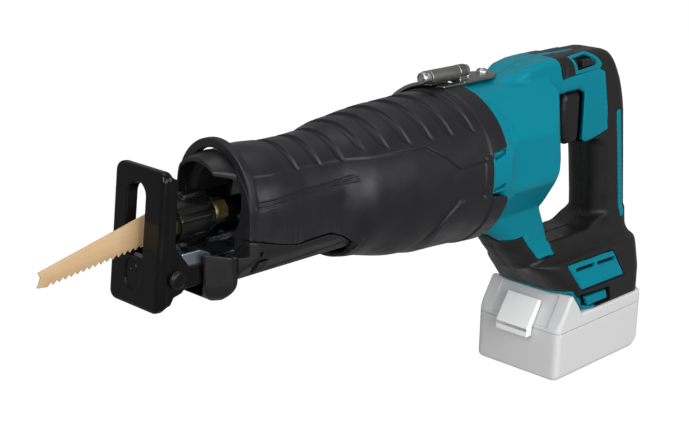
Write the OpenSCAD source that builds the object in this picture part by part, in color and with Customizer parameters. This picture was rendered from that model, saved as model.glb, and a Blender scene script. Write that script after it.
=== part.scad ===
// Cordless reciprocating saw with an adjustable shoe, a tool-free blade clamp and a slide-on battery pack.
// Lengths are in millimetres. Shapes are drawn along the saw's own axis: x runs back from the shoe's front
// face, y = 0 is the plane of symmetry and z = 0 is the slider's axis. tool() then puts the origin at the
// middle of the battery pack's flat bottom.

/* [Shoe and blade] */
// Width of the shoe plate
shoe_w = 42.6; // [42:0.2:43]
// Lean of the shoe, top to the rear, in degrees
shoe_lean = 5.9; // [4:0.1:6]
// Thickness of the blade
blade_t = 1.2; // [0.9:0.1:1.4]
// Spacing of the blade's teeth
tooth_pitch = 3.8; // [3.4:0.1:4.2]

/* [Drive] */
// Length of the stroke
stroke = 32; // [30:1:32]
// Radius of the slider shaft
slider_r = 6; // [5.8:0.1:6]
// Radial running clearance of shafts in bushes and bearings
run_gap = 0.05; // [0.03:0.01:0.08]
// Length of the stator core
stator_len = 44; // [40:1:44]

/* [Housing] */
// Outer radius of the motor housing
barrel_r = 49; // [48.5:0.1:49.2]
// Wall thickness of the moulded shells
wall = 3.5; // [3:0.1:3.6]
// Half thickness of the handle
grip_hw = 17.5; // [17:0.1:18]

/* [Battery] */
// Width of the battery pack
pack_w = 74.6; // [74.4:0.1:75]
// Height of the lower case of the battery pack
pack_h = 37; // [36.5:0.1:37.2]

/* [Hidden] */
$fn = 72;
ox = 407;
oz = 185;
zm = -5;            // height of the motor's axis
xg = 192;           // crank axis
px = 11;            // shoe pivot
pz = -25;
crank_r = stroke / 2;
gear_n = 36;
pinion_n = 9;
hw = pack_w / 2;
teal = [0.0, 0.45, 0.53];
black = [0.13, 0.13, 0.14];
rubber = [0.16, 0.16, 0.17];
zinc = [0.62, 0.66, 0.7];
steel = [0.5, 0.5, 0.52];
gold = [0.72, 0.6, 0.3];
tan_c = [0.8, 0.67, 0.5];
alu = [0.7, 0.71, 0.73];
copper = [0.72, 0.42, 0.22];
pale = [0.73, 0.73, 0.73];
white = [0.95, 0.95, 0.95];

module tool() translate([-ox, 0, oz]) children();
module xcyl(a, b, r, z = 0, y = 0) translate([a, y, z]) rotate([0, 90, 0]) cylinder(h = b - a, r = r);
module ycyl(a, b, r, x, z) translate([x, b, z]) rotate([90, 0, 0]) cylinder(h = b - a, r = r);
module zcyl(a, b, r, x, y = 0) translate([x, y, a]) cylinder(h = b - a, r = r);
module revx(p, z = 0) translate([0, 0, z]) rotate([0, 90, 0]) rotate_extrude() polygon([for (q = p) [q[1], q[0]]]);
module slab(y0, y1, p) translate([0, y1, 0]) rotate([90, 0, 0]) linear_extrude(y1 - y0) polygon(p);
module sect(x0, x1, p) translate([x0, 0, 0]) rotate([90, 0, 90]) linear_extrude(x1 - x0) polygon(p);
module box(a, b) translate(a) cube(b - a);
module both() { children(); mirror([0, 1, 0]) children(); }
module left() intersection() { children(); box([180, -90, -200], [520, 0, 90]); }
module right() intersection() { children(); box([180, 0, -200], [520, 90, 90]); }

// ---------- front end ----------

module boot_outer() {
  revx([[56, 0], [56, 33.5], [136, 34.5], [136, 0]], 1);
  revx([[134, 0], [134, 37], [148, 42], [184, 46], [212, 47.5], [263.8, barrel_r], [263.8, 0]], zm);
  revx([[144, 0], [144, 28], [160, 33.5], [188, 44.5], [282, 46.5], [282, 0]], -13);
}

// Rubber boot over the gear case, with its ring flange at the front
module front_boot() color(rubber) tool() difference() {
  union() {
    difference() {
      boot_outer();
      revx([[58, 0], [58, 30], [137, 31], [137, 0]], 1);
      revx([[130, 0], [130, 30], [134, 33.5], [148, 38.5], [184, 42.5], [212, 44], [300, 45.5], [300, 0]], zm);
      revx([[147.5, 0], [147.5, 25], [160, 30], [188, 41], [300, 43], [300, 0]], -13);
    }
    difference() {
      xcyl(55.5, 61, 34.2, 7.6);
      xcyl(51, 62, 27, 8.5);
    }
  }
  box([40, -60, -90], [142.3, 60, -18]);
  slab(-70, 70, [[263.8, 70], [263.8, 10], [250, 10], [250, -19], [263.8, -19], [268, -23], [280.5, -62], [310, -62], [310, 70]]);
  xcyl(50, 60, 27, 8.5);
}

// Curved visor above the blade clamp
module nose_guard() color(black) tool() difference() {
  union() {
    difference() { xcyl(40, 92, 26, 4.5); xcyl(39, 93, 23, 4.5); }
    xcyl(88, 92, 26, 4.5);
  }
  xcyl(80, 95, 19.05, 0);
  box([30, -40, -40], [88, 40, 17]);
  slab(-40, 40, [[30, 16], [64, 16], [38, 40], [30, 40]]);
  box([80, -40, -40], [96, 40, -17.5]);
}

// Lower cover that houses the shoe's stay, with a chin under the blade
module lower_cover() color(black) tool() difference() {
  union() {
    sect(50, 142, [[-33, -18.3], [-33, -24], [-24, -37], [24, -37], [33, -24], [33, -18.3],
      [29.5, -18.3], [29.5, -23], [22, -33.5], [-22, -33.5], [-29.5, -23], [-29.5, -18.3]]);
    difference() {
      translate([0, 0, -46]) linear_extrude(29.7) polygon([[32.6, -19.5], [46, -28.2], [53, -28.2], [53, 28.2], [46, 28.2], [32.6, 19.5]]);
      translate([0, 0, -42.6]) linear_extrude(40) polygon([[30, -17.4], [33.6, -17.4], [46, -25.2], [50, -25.2], [50, 25.2], [46, 25.2], [33.6, 17.4], [30, 17.4]]);
      slab(-40, 40, [[20, -13.8], [32.6, -16.4], [53, -20.6], [60, -20.6], [60, 0], [20, 0]]);
      box([50.1, -29, -33], [60, 29, 0]);
    }
  }
  box([45, -17.3, -34.4], [58.4, 17.3, -10]);
  box([59.9, -36, -31.4], [68.1, -20, -23.6]);
  for (x = [76, 126], y = [-17.6, 17.6]) zcyl(-40, -30, 2.05, x, y);
}

// Screws that hold the lower cover, a group of four
module cover_screws() color(steel) tool() for (x = [76, 126], y = [-17.6, 17.6]) union() {
  zcyl(-38.6, -37, 3.8, x, y);
  zcyl(-37.1, -30.4, 2, x, y);
}

// Steel channel that guides the stay
module stay_guide() color(steel) tool() difference() {
  union() {
    box([62, -14.4, -33.5], [138, 14.4, -20.4]);
    box([70, -21.5, -33.5], [132, 21.5, -31.4]);
  }
  box([60, -11.4, -31.4], [140, 11.4, -20]);
  for (x = [76, 126], y = [-17.6, 17.6]) zcyl(-40, -30, 2.05, x, y);
}

// Adjustable stay behind the shoe
module shoe_stay() color(zinc) tool() union() {
  both() slab(11.5, 15, [[20.2, -14.6], [33, -14.6], [40, -18], [40, -31], [24.2, -31], [20.2, -22]]);
  box([24.2, -11.5, -31], [40, 11.5, -24]);
  box([40, -11, -31], [128, 11, -22]);
}

// Black bracket that joins the stay to the shoe's pivot
module stay_bracket() color(black) tool() difference() {
  union() {
    both() ycyl(12, 16.9, 4.2, px, pz);
    both() slab(12, 16.9, [[px, -29.2], [24.1, -34], [24.1, -31], [20, -22.2], [20, -20.8], [px, -20.8]]);
    box([13.6, -16.9, -34], [56, 16.9, -31]);
  }
  ycyl(-30, 30, 2.5, px, pz);
}

// Pivot rivet of the shoe, with a head on each side
module shoe_pin() color(black) tool() union() {
  ycyl(-23.6, 23.6, 2.5, px, pz);
  both() ycyl(21.7, 24, 5.2, px, pz);
}

// Shoe plate with its blade slot and two pivot ears
module shoe() color(black) tool() translate([px, 0, pz]) rotate([0, shoe_lean, 0]) difference() {
  union() {
    intersection() {
      box([-11, -shoe_w / 2, -19], [-4.5, shoe_w / 2, 59.5]);
      union() {
        box([-12, -shoe_w / 2, -13], [0, shoe_w / 2, 53.5]);
        box([-12, 6 - shoe_w / 2, -20], [0, shoe_w / 2 - 6, 62]);
        both() xcyl(-12, 0, 6, -13, shoe_w / 2 - 6);
        both() xcyl(-12, 0, 6, 53.5, shoe_w / 2 - 6);
      }
    }
    both() slab(17.2, shoe_w / 2, [[-5, 56], [-2.5, 54], [-2, 18], [3, 13], [9, 6], [9, -5], [5, -9], [-1, -10.5], [-2.5, -15], [-5, -17]]);
  }
  ycyl(-30, 30, 2.5 + run_gap, 0, 0);
  box([-14, -7.5, 8], [0, 7.5, 43]);
  xcyl(-14, 0, 7.5, 43);
  xcyl(-14, -8.5, 5.5, -3.5, 0);
}

// Button that frees the stay so that the shoe can be moved
module shoe_lock_button() color(black) tool() sect(60.2, 67.8, [[-34.6, -23.9], [-30, -31.1], [-22, -31.1], [-22, -23.9]]);

// ---------- blade clamp and slider ----------

blade_a = [-57, -18.1];
blade_b = [15, -9];
blade_len = norm(blade_b - blade_a);
blade_n = floor(blade_len / tooth_pitch);
function edge(t) = blade_a + (blade_b - blade_a) * t;
module blade() color(tan_c) tool() slab(-blade_t / 2, blade_t / 2, concat(
  [for (i = [0 : blade_n - 1], k = [0, 1]) edge((i + k * 0.75) / blade_n) + (k == 0 ? [0, 0] : [0.2, 1.7])],
  [[15, -8.6], [30, -6], [45, -5], [45, 5], [30, 6.5], [22, 8.4], [8, 8], [-4, 5], [-62, -9.3], [-60, -13], [-63, -17.4]]));

// Turning sleeve of the blade clamp
module clamp_sleeve() color(black) tool() difference() {
  revx([[22, 0], [22, 13], [43.5, 13], [49.7, 10], [49.7, 0]]);
  xcyl(21, 46, 9.5);
  xcyl(40, 55, slider_r + 0.4);
  for (a = [20, 110, 200, 290]) rotate([a, 0, 0]) xcyl(25, 60, 2, 13.4);
}

// Slotted holder that grips the blade's shank
module clamp_holder() color(steel) tool() difference() {
  union() { xcyl(24, 45.6, 9); xcyl(45.6, 50, slider_r); }
  box([20, -blade_t / 2 - 0.15, -12], [45.4, blade_t / 2 + 0.15, 12]);
}

// Yellow-passivated cone behind the sleeve
module clamp_collar() color(gold) tool() difference() {
  revx([[50, 0], [50, 10.8], [53, 10.8], [61, 7.8], [61, 0]]);
  xcyl(49, 62, slider_r);
}

// Slider shaft
module slider_shaft() color(steel) tool() xcyl(50, xg - 8 - 7.1, slider_r);

// Cross yoke on the slider, with the slot that the crank's roller runs in
module slider_yoke() color(steel) tool() difference() {
  box([xg - 8 - 7.1, -23, -9.9], [xg - 8 + 7.1, 23, 7]);
  box([xg - 8 - 4.1, -20.1, -11], [xg - 8 + 4.1, 20.1, -2]);
}

// ---------- gear case ----------

module case_outer() {
  revx([[86, 0], [86, 19], [148.2, 19], [148.2, 0]], 0);
  revx([[146, 0], [146, 26], [160, 33.2], [184, 42], [258, 44], [258, 0]], zm);
}

// Aluminium gear case
module gear_case() color(alu) tool() difference() {
  union() {
    difference() {
      case_outer();
      revx([[150, 0], [150, 21], [163, 30], [186, 38.5], [240, 40.5], [259, 40.5], [259, 0]], zm);
    }
    zcyl(-46, -23, 17, xg);
    // guides beside the yoke
    both() translate([0, 0, -6]) linear_extrude(11)
      polygon([[160, 23.4], [215, 23.4], [215, 40.8], [186, 39.6], [175, 35.9], [163, 31.3], [160, 29.7]]);
  }
  zcyl(-41, -20, 13, xg);
  zcyl(-60, -20, 7, xg);
  xcyl(80, 160, 12);
}

// Front bush of the slider
module slider_bush() color(gold) tool() difference() { xcyl(90, 126, 12); xcyl(89, 127, slider_r + run_gap); }

// Lip seal in front of the bush
module slider_seal() color(rubber) tool() difference() { xcyl(86, 89.8, 12); xcyl(85, 90, slider_r + 0.3); }

// Plate that closes the gear case and carries the motor's front bearing
module bearing_plate() color(alu) tool() difference() {
  xcyl(246, 256, 40.4, zm);
  xcyl(245, 254, 11, zm);
  xcyl(240, 260, 8, zm);
}

module ring_bearing(w, ro, ri) difference() {
  cylinder(h = w, r = ro);
  translate([0, 0, -1]) cylinder(h = w + 2, r = ri);
  translate([0, 0, w - 0.8]) difference() {
    cylinder(h = 2, r = ro - 1.6);
    translate([0, 0, -1]) cylinder(h = 4, r = ri + 1.4);
  }
}

// Two ball bearings of the crank shaft
module crank_bearings() color(steel) tool() for (z = [-41, -31]) translate([xg, 0, z]) ring_bearing(7.6, 13, 6 + run_gap);

// Crank shaft
module crank_shaft() color(steel) tool() zcyl(-40.6, -14, 6, xg);

// Crank gear with its teeth on the upper face
module crank_gear() color(steel) tool() translate([xg, 0, 0]) difference() {
  union() {
    zcyl(-22, -14, 31, 0);
    for (i = [0 : gear_n - 1]) rotate([0, 0, i * 360 / gear_n]) box([24.8, -0.65, -14.5], [30.9, 0.65, -10.6]);
  }
  zcyl(-30, 0, 6, 0);
  for (a = [0, 72, 288]) rotate([0, 0, a]) zcyl(-30, 0, 5, 15);
}

// Crank pin
module crank_pin() color(steel) tool() zcyl(-14, -10.3, 2.5, xg + crank_r * cos(120), crank_r * sin(120));

// Roller on the crank pin
module crank_roller() color(gold) tool() difference() {
  zcyl(-13.7, -10.3, 4, xg + crank_r * cos(120), crank_r * sin(120));
  zcyl(-15, -9, 2.5 + run_gap, xg + crank_r * cos(120), crank_r * sin(120));
}

// ---------- motor ----------

// Rotor shaft with the pinion cut on its front end
module rotor_shaft() color(steel) tool() union() {
  translate([0, 0, zm]) sect(217.6, 225.6, [for (i = [0 : pinion_n - 1], q = [[-12, 5.2], [-3.4, 8.4], [3.4, 8.4], [12, 5.2]])
    let (a = -90 + (i + 0.5) * 360 / pinion_n + q[0]) q[1] * [cos(a), sin(a)]]);
  xcyl(222, 300, 5, zm);
  xcyl(268, 324, 6, zm);
  xcyl(300, 343, 4, zm);
}

stator_x = 292 - stator_len / 2;

// Magnet core of the rotor
module rotor_magnets() color(steel) tool() difference() {
  xcyl(stator_x, stator_x + stator_len, 18.5, zm);
  xcyl(260, 330, 6, zm);
}

// Laminated stator core with six winding slots
module stator_core() color(steel) tool() translate([0, 0, zm]) difference() {
  xcyl(stator_x, stator_x + stator_len, 32, 0);
  xcyl(260, 330, 19.2, 0);
  for (a = [0 : 60 : 300]) rotate([a, 0, 0]) box([260, -4.5, 21], [330, 4.5, 29]);
}

// Copper windings in the stator's slots
module stator_coils() color(copper) tool() translate([0, 0, zm]) for (a = [0 : 60 : 300]) rotate([a, 0, 0])
  box([stator_x - 4, -4.4, 21.1], [stator_x + stator_len + 4, 4.4, 28.9]);

// Cooling fan on the rotor shaft
module cooling_fan() color(black) tool() translate([0, 0, zm]) difference() {
  union() {
    xcyl(325, 332, 8, 0);
    xcyl(330.4, 332, 29, 0);
    for (a = [0 : 36 : 324]) rotate([a, 0, 0]) box([325, -0.7, 7], [331, 0.7, 28]);
  }
  xcyl(320, 340, 4, 0);
}

// Ball bearings of the rotor
module rotor_bearings() color(steel) tool() union() {
  translate([246, 0, zm]) rotate([0, 90, 0]) ring_bearing(8, 11, 5 + run_gap);
  translate([334.5, 0, zm]) rotate([0, 90, 0]) ring_bearing(8, 9.5, 4 + run_gap);
}

// ---------- housing and handle ----------

strut = [[284, -40], [344, -26], [347.4, -33], [347, -41], [346, -52], [352, -64], [362, -90.7], [343, -90.7], [327, -71], [308, -71], [284, -55]];
strut_in = [[290, -40], [341, -36], [343, -41], [342, -53], [348, -66], [357, -88], [345, -88], [329, -67.5], [309.5, -67.5], [290, -53]];
hump = [[296, 20], [300, 37], [316, 45.5], [327, 49.5], [338, 52], [364, 52], [364, 26], [348, 26], [343, 20]];
hump_in = [[300, 20], [303, 34], [317, 42], [328, 46], [339, 48.5], [365, 48.5], [365, 29.5], [347, 29.5], [341, 22]];
block = [[344, 26], [393, 26], [393, -12], [429, -12], [420.5, 37], [344, 37]];
block_in = [[350, 29.5], [408.5, 29.5], [408.5, -8.5], [432, -8.5], [422, 40], [364, 40], [350, 33]];
handle = [[364.3, 37.3], [364.3, 52], [417, 52], [430, 48.5], [441, 40.5], [449, 28], [454.5, 9], [460, -32], [466.5, -82], [468, -98],
  [424, -98], [424, -82], [421, -60], [417, -20], [413, -12.3], [429.3, -12.3], [420.8, 37.3]];
handle_in = [[364, 40.5], [364, 48.5], [416, 48.5], [428.4, 45.2], [438.4, 37.8], [445.8, 26.4], [451, 8], [456.4, -32], [463, -82], [464, -99],
  [428, -99], [427.6, -82], [424.6, -60], [420.6, -20], [418, -15], [432, -15], [424.3, 37.3], [424.3, 40.5]];
foot = [[308, -71.3], [327, -71.3], [343, -91], [362.3, -91], [368, -84], [430, -84], [430, -112], [346, -112], [342, -105]];
foot_in = [[314, -75], [325, -75], [341.5, -94.5], [364, -94.5], [370, -87.5], [430, -87.5], [430, -113], [353, -113], [346, -104]];
screw_at = [[356, 43, 17], [436, 31, grip_hw], [452, -74, grip_hw], [336, -58, 18], [332, -84, 18], [447.5, -14.5, grip_hw]];
vent_poly = [[362, -97.5], [420, -99], [434, -119.5], [378, -119.5]];

module boss_posts(r, list) for (s = list) both() ycyl(0, s[2] - 1, r, s[0], s[1]);
module boss_holes(list) for (s = list) { ycyl(-10, 10, 2.05, s[0], s[1]); ycyl(9, 30, 2.05, s[0], s[1]); ycyl(s[2] - 4, 40, 4, s[0], s[1]); }
teal_bosses = [screw_at[0], screw_at[3]];
black_bosses = [screw_at[1], screw_at[2], screw_at[4], screw_at[5]];

module housing_shell() difference() {
  union() {
    difference() {
      union() {
        revx([[264.1, 0], [264.1, barrel_r], [318, barrel_r], [349, 31], [349, 0]], zm);
        slab(-17, 17, hump);
        slab(-18, 18, strut);
        slab(-grip_hw, grip_hw, block);
      }
      revx([[250, 0], [250, 45.5], [316, 45.5], [345.5, 28.5], [345.5, 0]], zm);
      slab(-13.5, 13.5, hump_in);
      slab(-14.5, 14.5, strut_in);
      slab(-14, 14, block_in);
    }
    intersection() {
      difference() { xcyl(250.3, 265, 48.8, zm); xcyl(240, 270, 46.3, zm); }
      box([250.3, -60, -18.7], [265, 60, 9.7]);
    }
    difference() { union() { xcyl(258.2, 266, 44.2, zm); xcyl(264.1, 268, 46, zm); xcyl(274, 277, 46, zm); xcyl(306, 309, 46, zm); } xcyl(250, 320, 32.05, zm); }
    difference() { union() { xcyl(334.5, 347, 13, zm); } xcyl(334.4, 345, 9.5, zm); }
    for (x = [284, 302]) intersection() { zcyl(36, 46, 5, x, 6); xcyl(250, 360, 46, zm); }
    intersection() { boss_posts(4.5, teal_bosses); union() { slab(-18, 18, strut); slab(-17, 17, hump); } }
  }
  boss_holes(teal_bosses);
  xcyl(257, 269, 41, zm);
  for (x = [284, 302]) zcyl(30, 60, 2.05, x, 6);
  slab(-70, 70, [[240, -19.1], [264.1, -19.1], [268.4, -23], [280.9, -62], [280.9, -90], [240, -90]]);
  box([391, -9, -15], [417, 9, 26.2]);
  for (s = [-1, 1]) {
    slab(s * 48 - 6, s * 48 + 6, [[253, 4.5], [262, 6.5], [262, 8], [253, 6]]);
    slab(s * 48 - 6, s * 48 + 6, [[254, -17.6], [262, -16.6], [262, -15], [254, -16]]);
  }
}

module housing_left() color(teal) tool() left() housing_shell();
module housing_right() color(teal) tool() right() housing_shell();

// Flared foot of the handle, wide at the battery
module foot_flare() hull() {
  translate([372, -32, -97]) cube([82, 64, 1]);
  translate([356, -37, -121]) cube([112, 74, 4]);
}
module foot_top() hull() {
  translate([372, -32, -97.5]) cube([82, 64, 1]);
  translate([380, -18, -85]) cube([86, 36, 1]);
}
module foot_space() hull() {
  translate([378, -28, -98]) cube([70, 56, 1]);
  translate([362, -33, -117.6]) cube([102, 66, 1]);
}

module grip_shell() difference() {
  union() {
    difference() {
      union() {
        slab(-grip_hw, grip_hw, handle);
        slab(-18, 18, foot);
        foot_flare();
        foot_top();
        slab(-37, 37, [[370, -119], [370, -121], [377.4, -130], [381.9, -137], [468, -137], [468, -119]]);
      }
      slab(-14, 14, handle_in);
      slab(-14, 14, [[424, -8.5], [436, -8.5], [430, 39], [416, 39]]);
      slab(-14.5, 14.5, foot_in);
      foot_space();
    }
    intersection() { boss_posts(4.5, black_bosses); union() { slab(-grip_hw, grip_hw, handle); slab(-18, 18, foot); } }
  }
  boss_holes(black_bosses);
  // channel for the pack's top, with two rails left standing
  difference() {
    box([340, -27.4, -140], [456.4, 27.4, -121]);
    both() box([384, 22.4, -132.6], [456.4, 30, -128.4]);
  }
  box([398, -17.3, -122], [442.3, 17.3, -116]);
  // seats of the side vent panels
  both() slab(-45, -31.5, vent_poly);
  // recess of the mode button, left side
  slab(-45, -32, [[377, -123], [416, -124.5], [418, -135.4], [386, -135.4]]);
  // opening of the lock-off button
  box([385.6, -30, 40.2], [402.4, 30, 48.4]);
}

module grip_left() color(black) tool() left() grip_shell();
module grip_right() color(black) tool() right() grip_shell();

// Louvred panel in the side of the foot
module vent_panel() difference() {
  intersection() {
    foot_flare();
    slab(-45, -31.7, [[362.4, -97.8], [419.8, -99.3], [433.4, -119.2], [378.2, -119.2]]);
  }
  slab(-50, -30, [[370, -101.6], [393, -101.6], [394, -104], [371.6, -104]]);
  slab(-50, -30, [[397, -101.6], [418, -101.6], [419.6, -104], [398, -104]]);
}
module vent_panel_left() color(teal) tool() vent_panel();
module vent_panel_right() color(teal) tool() mirror([0, 1, 0]) vent_panel();

// Screws that join the two halves, a group
module housing_screws() color(steel) tool() for (s = screw_at) union() {
  ycyl(-8, s[2] - 3.9, 2, s[0], s[1]);
  ycyl(s[2] - 4, s[2] - 0.8, 3.6, s[0], s[1]);
}

// ---------- controls and electrics ----------

// Trigger with its finger face to the front
module trigger() color(black) tool() union() {
  slab(-8.5, 8.5, [[374, 25.6], [403, 25.6], [405.5, 22], [405.5, -10], [402, -14], [380, -14], [375, -9], [372, 2], [371, 14], [371.6, 22]]);
  box([405, -5, 2], [409.4, 5, 12]);
}

// Switch behind the trigger
module trigger_switch() color(black) tool() union() {
  box([417.4, -10, -7], [440, 10, 24]);
  box([440, -7, -2], [447, 7, 18]);
}

// Cross button that locks the trigger
module lock_off_button() color(black) tool() slab(-19.6, 15.6, [[386, 40.6], [402, 40.6], [402, 44.6], [396, 48], [386, 48]]);

// Motor controller, potted in a tray
module controller() color(black) tool() difference() {
  box([377, -24, -115], [397, 24, -101]);
  box([379, -22, -103], [395, 22, -100]);
}

// Terminal block between the foot and the pack
module terminal_block() color(black) tool() union() {
  box([398.3, -17, -121], [442, 17, -116.4]);
  for (y = [-12, 0, 12]) box([404, y - 0.5, -125], [424, y + 0.5, -120]);
}

// Mode button on the left of the foot
module mode_button() color(teal) tool() slab(-36.6, -33.4, [[384, -126], [411, -127], [413.6, -133.6], [388.6, -133.6]]);

// ---------- hook ----------

hy = 1;
hz = 52.3;
hook_r = 4.7;

// Bracket of the hook, screwed to the top of the housing
module hook_bracket() color(steel) tool() difference() {
  union() {
    box([268, -7, 45], [308, 13, 47.2]);
    box([247, -7, 45], [268.5, -0.7, 46.5]);
    box([268, -3, 46], [275.6, 5, 50]);
    xcyl(268, 275.6, hook_r, hz, hy);
  }
  xcyl(260, 280, 2.5, hz, hy);
  for (x = [284, 302]) zcyl(40, 60, 2.2, x, 6);
}

// Hinge bolt of the hook
module hook_bolt() color(steel) tool() union() {
  xcyl(236.6, 278, 2.5, hz, hy);
  xcyl(232.6, 236.8, 4.2, hz, hy);
  xcyl(276, 278.6, 4, hz, hy);
}

// Screws of the hook's bracket
module hook_screws() color(steel) tool() for (x = [284, 302]) union() {
  zcyl(34, 47.3, 2, x, 6);
  zcyl(47.2, 49.8, 4, x, 6);
}

// Hook arm, folded against the right side
module hook_arm() color(zinc) tool() difference() {
  union() {
    xcyl(240, 267.7, hook_r, hz, hy);
    translate([0, 0, zm]) rotate([0, 90, 0]) rotate([0, 0, 82]) rotate_extrude(angle = 98) polygon([[51, 244], [53.6, 244], [53.6, 262], [51, 262]]);
  }
  xcyl(230, 270, 2.5 + run_gap, hz, hy);
}

// ---------- battery pack ----------

pack_top = -185 + pack_h;

// Lower tray of the pack
module pack_lower() color(pale) tool() difference() {
  intersection() {
    box([351, -hw, -185], [462, hw, pack_top]);
    union() {
      box([357, -hw, -190], [456, hw, 0]);
      box([350, 6 - hw, -190], [463, hw - 6, 0]);
      both() zcyl(-190, 0, 6, 357, hw - 6);
      both() zcyl(-190, 0, 6, 456, hw - 6);
    }
  }
  difference() {
    box([354, 3 - hw, -182], [459, hw - 3, -100]);
    for (x = [356.5, 456.5], y = [-32.5, 32.5]) zcyl(-183, pack_top - 3, 2.9, x, y);
  }
  for (x = [356.5, 456.5], y = [-32.5, 32.5]) zcyl(-190, -165, 1.3, x, y);
  for (x = [356.5, 456.5], y = [-32.5, 32.5]) zcyl(-190, -183.4, 2.8, x, y);
}

// Upper cover of the pack, with its slide grooves
module pack_upper() color(pale) tool() difference() {
  union() {
    intersection() {
      slab(-hw, hw, [[351, pack_top], [351, -146], [366, -121.6], [369, -121.6], [376.5, -130.5], [381, -137.4], [462, -137.4], [462, pack_top]]);
      union() {
        box([357, -hw, -190], [456, hw, 0]);
        box([350, 6 - hw, -190], [463, hw - 6, 0]);
        both() zcyl(-190, 0, 6, 357, hw - 6);
        both() zcyl(-190, 0, 6, 456, hw - 6);
      }
    }
    slab(-27, 27, [[351, -146], [366, -121.6], [456, -121.6], [456, -140], [351, -147]]);
  }
  both() box([370, 22, -133], [460, 30, -128]);
  slab(-24, 24, [[355, -152], [357, -144], [370, -125], [452, -125], [452, -152]]);
  box([356, 3 - hw, -150], [457, hw - 3, -141]);
  // seat of the release button
  slab(-15.4, 15.4, [[345, -153], [345, -147], [360.5, -121], [369, -121], [362, -136], [356, -146], [355.6, -153]]);
  // slots for the terminals
  for (y = [-12, 0, 12]) box([402, y - 1.2, -126], [470, y + 1.2, -121]);
}

// Release button on the pack's front slope
module pack_button() color(white) tool() slab(-14.8, 14.8, [[343.8, -147], [357.2, -126.8], [361.2, -128.8], [352.2, -144], [350.4, -147], [350.4, -154], [343.8, -154]]);

// Ten round cells, a group
module pack_cells() color([0.3, 0.5, 0.4]) tool() for (i = [0 : 4], k = [0, 1])
  ycyl(-32.5, 32.5, 9, 369.7 + i * 18.4, -172.8 + k * 19.2);

// Protection board above the cells
module pack_board() color([0.1, 0.35, 0.2]) tool() box([372, -22, -140.4], [448, 22, -138.6]);

// Screws of the pack, from below
module pack_screws() color(steel) tool() for (x = [356.5, 456.5], y = [-32.5, 32.5]) union() {
  zcyl(-184.6, -183.4, 2.6, x, y);
  zcyl(-183.4, -166, 1.25, x, y);
}

front_boot();
nose_guard();
lower_cover();
cover_screws();
stay_guide();
shoe_stay();
stay_bracket();
shoe_pin();
shoe();
shoe_lock_button();
blade();
clamp_sleeve();
clamp_holder();
clamp_collar();
slider_shaft();
slider_yoke();
gear_case();
slider_bush();
slider_seal();
bearing_plate();
crank_bearings();
crank_shaft();
crank_gear();
crank_pin();
crank_roller();
rotor_shaft();
rotor_magnets();
stator_core();
stator_coils();
cooling_fan();
rotor_bearings();
housing_left();
housing_right();
grip_left();
grip_right();
vent_panel_left();
vent_panel_right();
housing_screws();
trigger();
trigger_switch();
lock_off_button();
controller();
terminal_block();
mode_button();
hook_bracket();
hook_bolt();
hook_screws();
hook_arm();
pack_lower();
pack_upper();
pack_button();
pack_cells();
pack_board();
pack_screws();
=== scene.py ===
import math

import bmesh
import bpy
import numpy as np
from mathutils import Matrix, Vector


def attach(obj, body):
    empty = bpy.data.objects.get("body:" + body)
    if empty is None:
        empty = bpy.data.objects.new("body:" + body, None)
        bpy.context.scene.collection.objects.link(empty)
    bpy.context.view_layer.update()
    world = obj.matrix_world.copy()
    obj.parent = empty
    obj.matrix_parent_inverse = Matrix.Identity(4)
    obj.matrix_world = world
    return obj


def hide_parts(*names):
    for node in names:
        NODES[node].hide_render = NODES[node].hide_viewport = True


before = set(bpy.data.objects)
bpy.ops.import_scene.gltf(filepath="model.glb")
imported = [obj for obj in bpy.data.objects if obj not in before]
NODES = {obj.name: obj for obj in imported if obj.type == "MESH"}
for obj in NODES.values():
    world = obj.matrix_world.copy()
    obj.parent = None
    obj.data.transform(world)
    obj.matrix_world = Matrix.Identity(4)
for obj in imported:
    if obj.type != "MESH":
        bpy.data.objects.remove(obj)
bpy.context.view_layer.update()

OX, OZ = 407.0, 185.0          # tool frame (mm) to the row frame: X = (x - OX) / 1000, Z = (z + OZ) / 1000
ZM = -5.0                      # height of the motor's axis in the tool frame
COARSE = 1.0


# ---------------------------------------------------------------- distance fields (tool frame, millimetres)

def smin(a, b, k):
    h = np.clip(0.5 + 0.5 * (b - a) / k, 0, 1)
    return b * (1 - h) + a * h - k * h * (1 - h)


def smax(a, b, k):
    return -smin(-a, -b, k)


def sstep(t):
    t = np.clip(t, 0, 1)
    return t * t * (3 - 2 * t)


def table(*pairs):
    """Smooth curve through (position, value) pairs, as positions, values and slopes."""
    xs = np.array([p[0] for p in pairs], float)
    vs = np.array([p[1] for p in pairs], float)
    h = np.diff(xs)
    dl = np.diff(vs) / h
    m = np.zeros_like(vs)
    for i in range(1, len(xs) - 1):
        if dl[i - 1] * dl[i] > 0:
            w1, w2 = 2 * h[i] + h[i - 1], h[i] + 2 * h[i - 1]
            m[i] = (w1 + w2) / (w1 / dl[i - 1] + w2 / dl[i])
    m[0], m[-1] = dl[0], dl[-1]
    X = np.linspace(xs[0], xs[-1], 900)
    i = np.clip(np.searchsorted(xs, X) - 1, 0, len(h) - 1)
    t = (X - xs[i]) / h[i]
    V = ((2 * t**3 - 3 * t**2 + 1) * vs[i] + (t**3 - 2 * t**2 + t) * h[i] * m[i]
         + (-2 * t**3 + 3 * t**2) * vs[i + 1] + (t**3 - t**2) * h[i] * m[i + 1])
    return X, V, np.gradient(V, X)


def look(tb, x):
    return np.interp(x, tb[0], tb[1])


def rev(x, y, z, tb, z0=0.0, y0=0.0):
    g = np.interp(x, tb[0], tb[2])
    return (np.hypot(y - y0, z - z0) - look(tb, x)) / np.sqrt(1 + np.minimum(g * g, 4))


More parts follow.
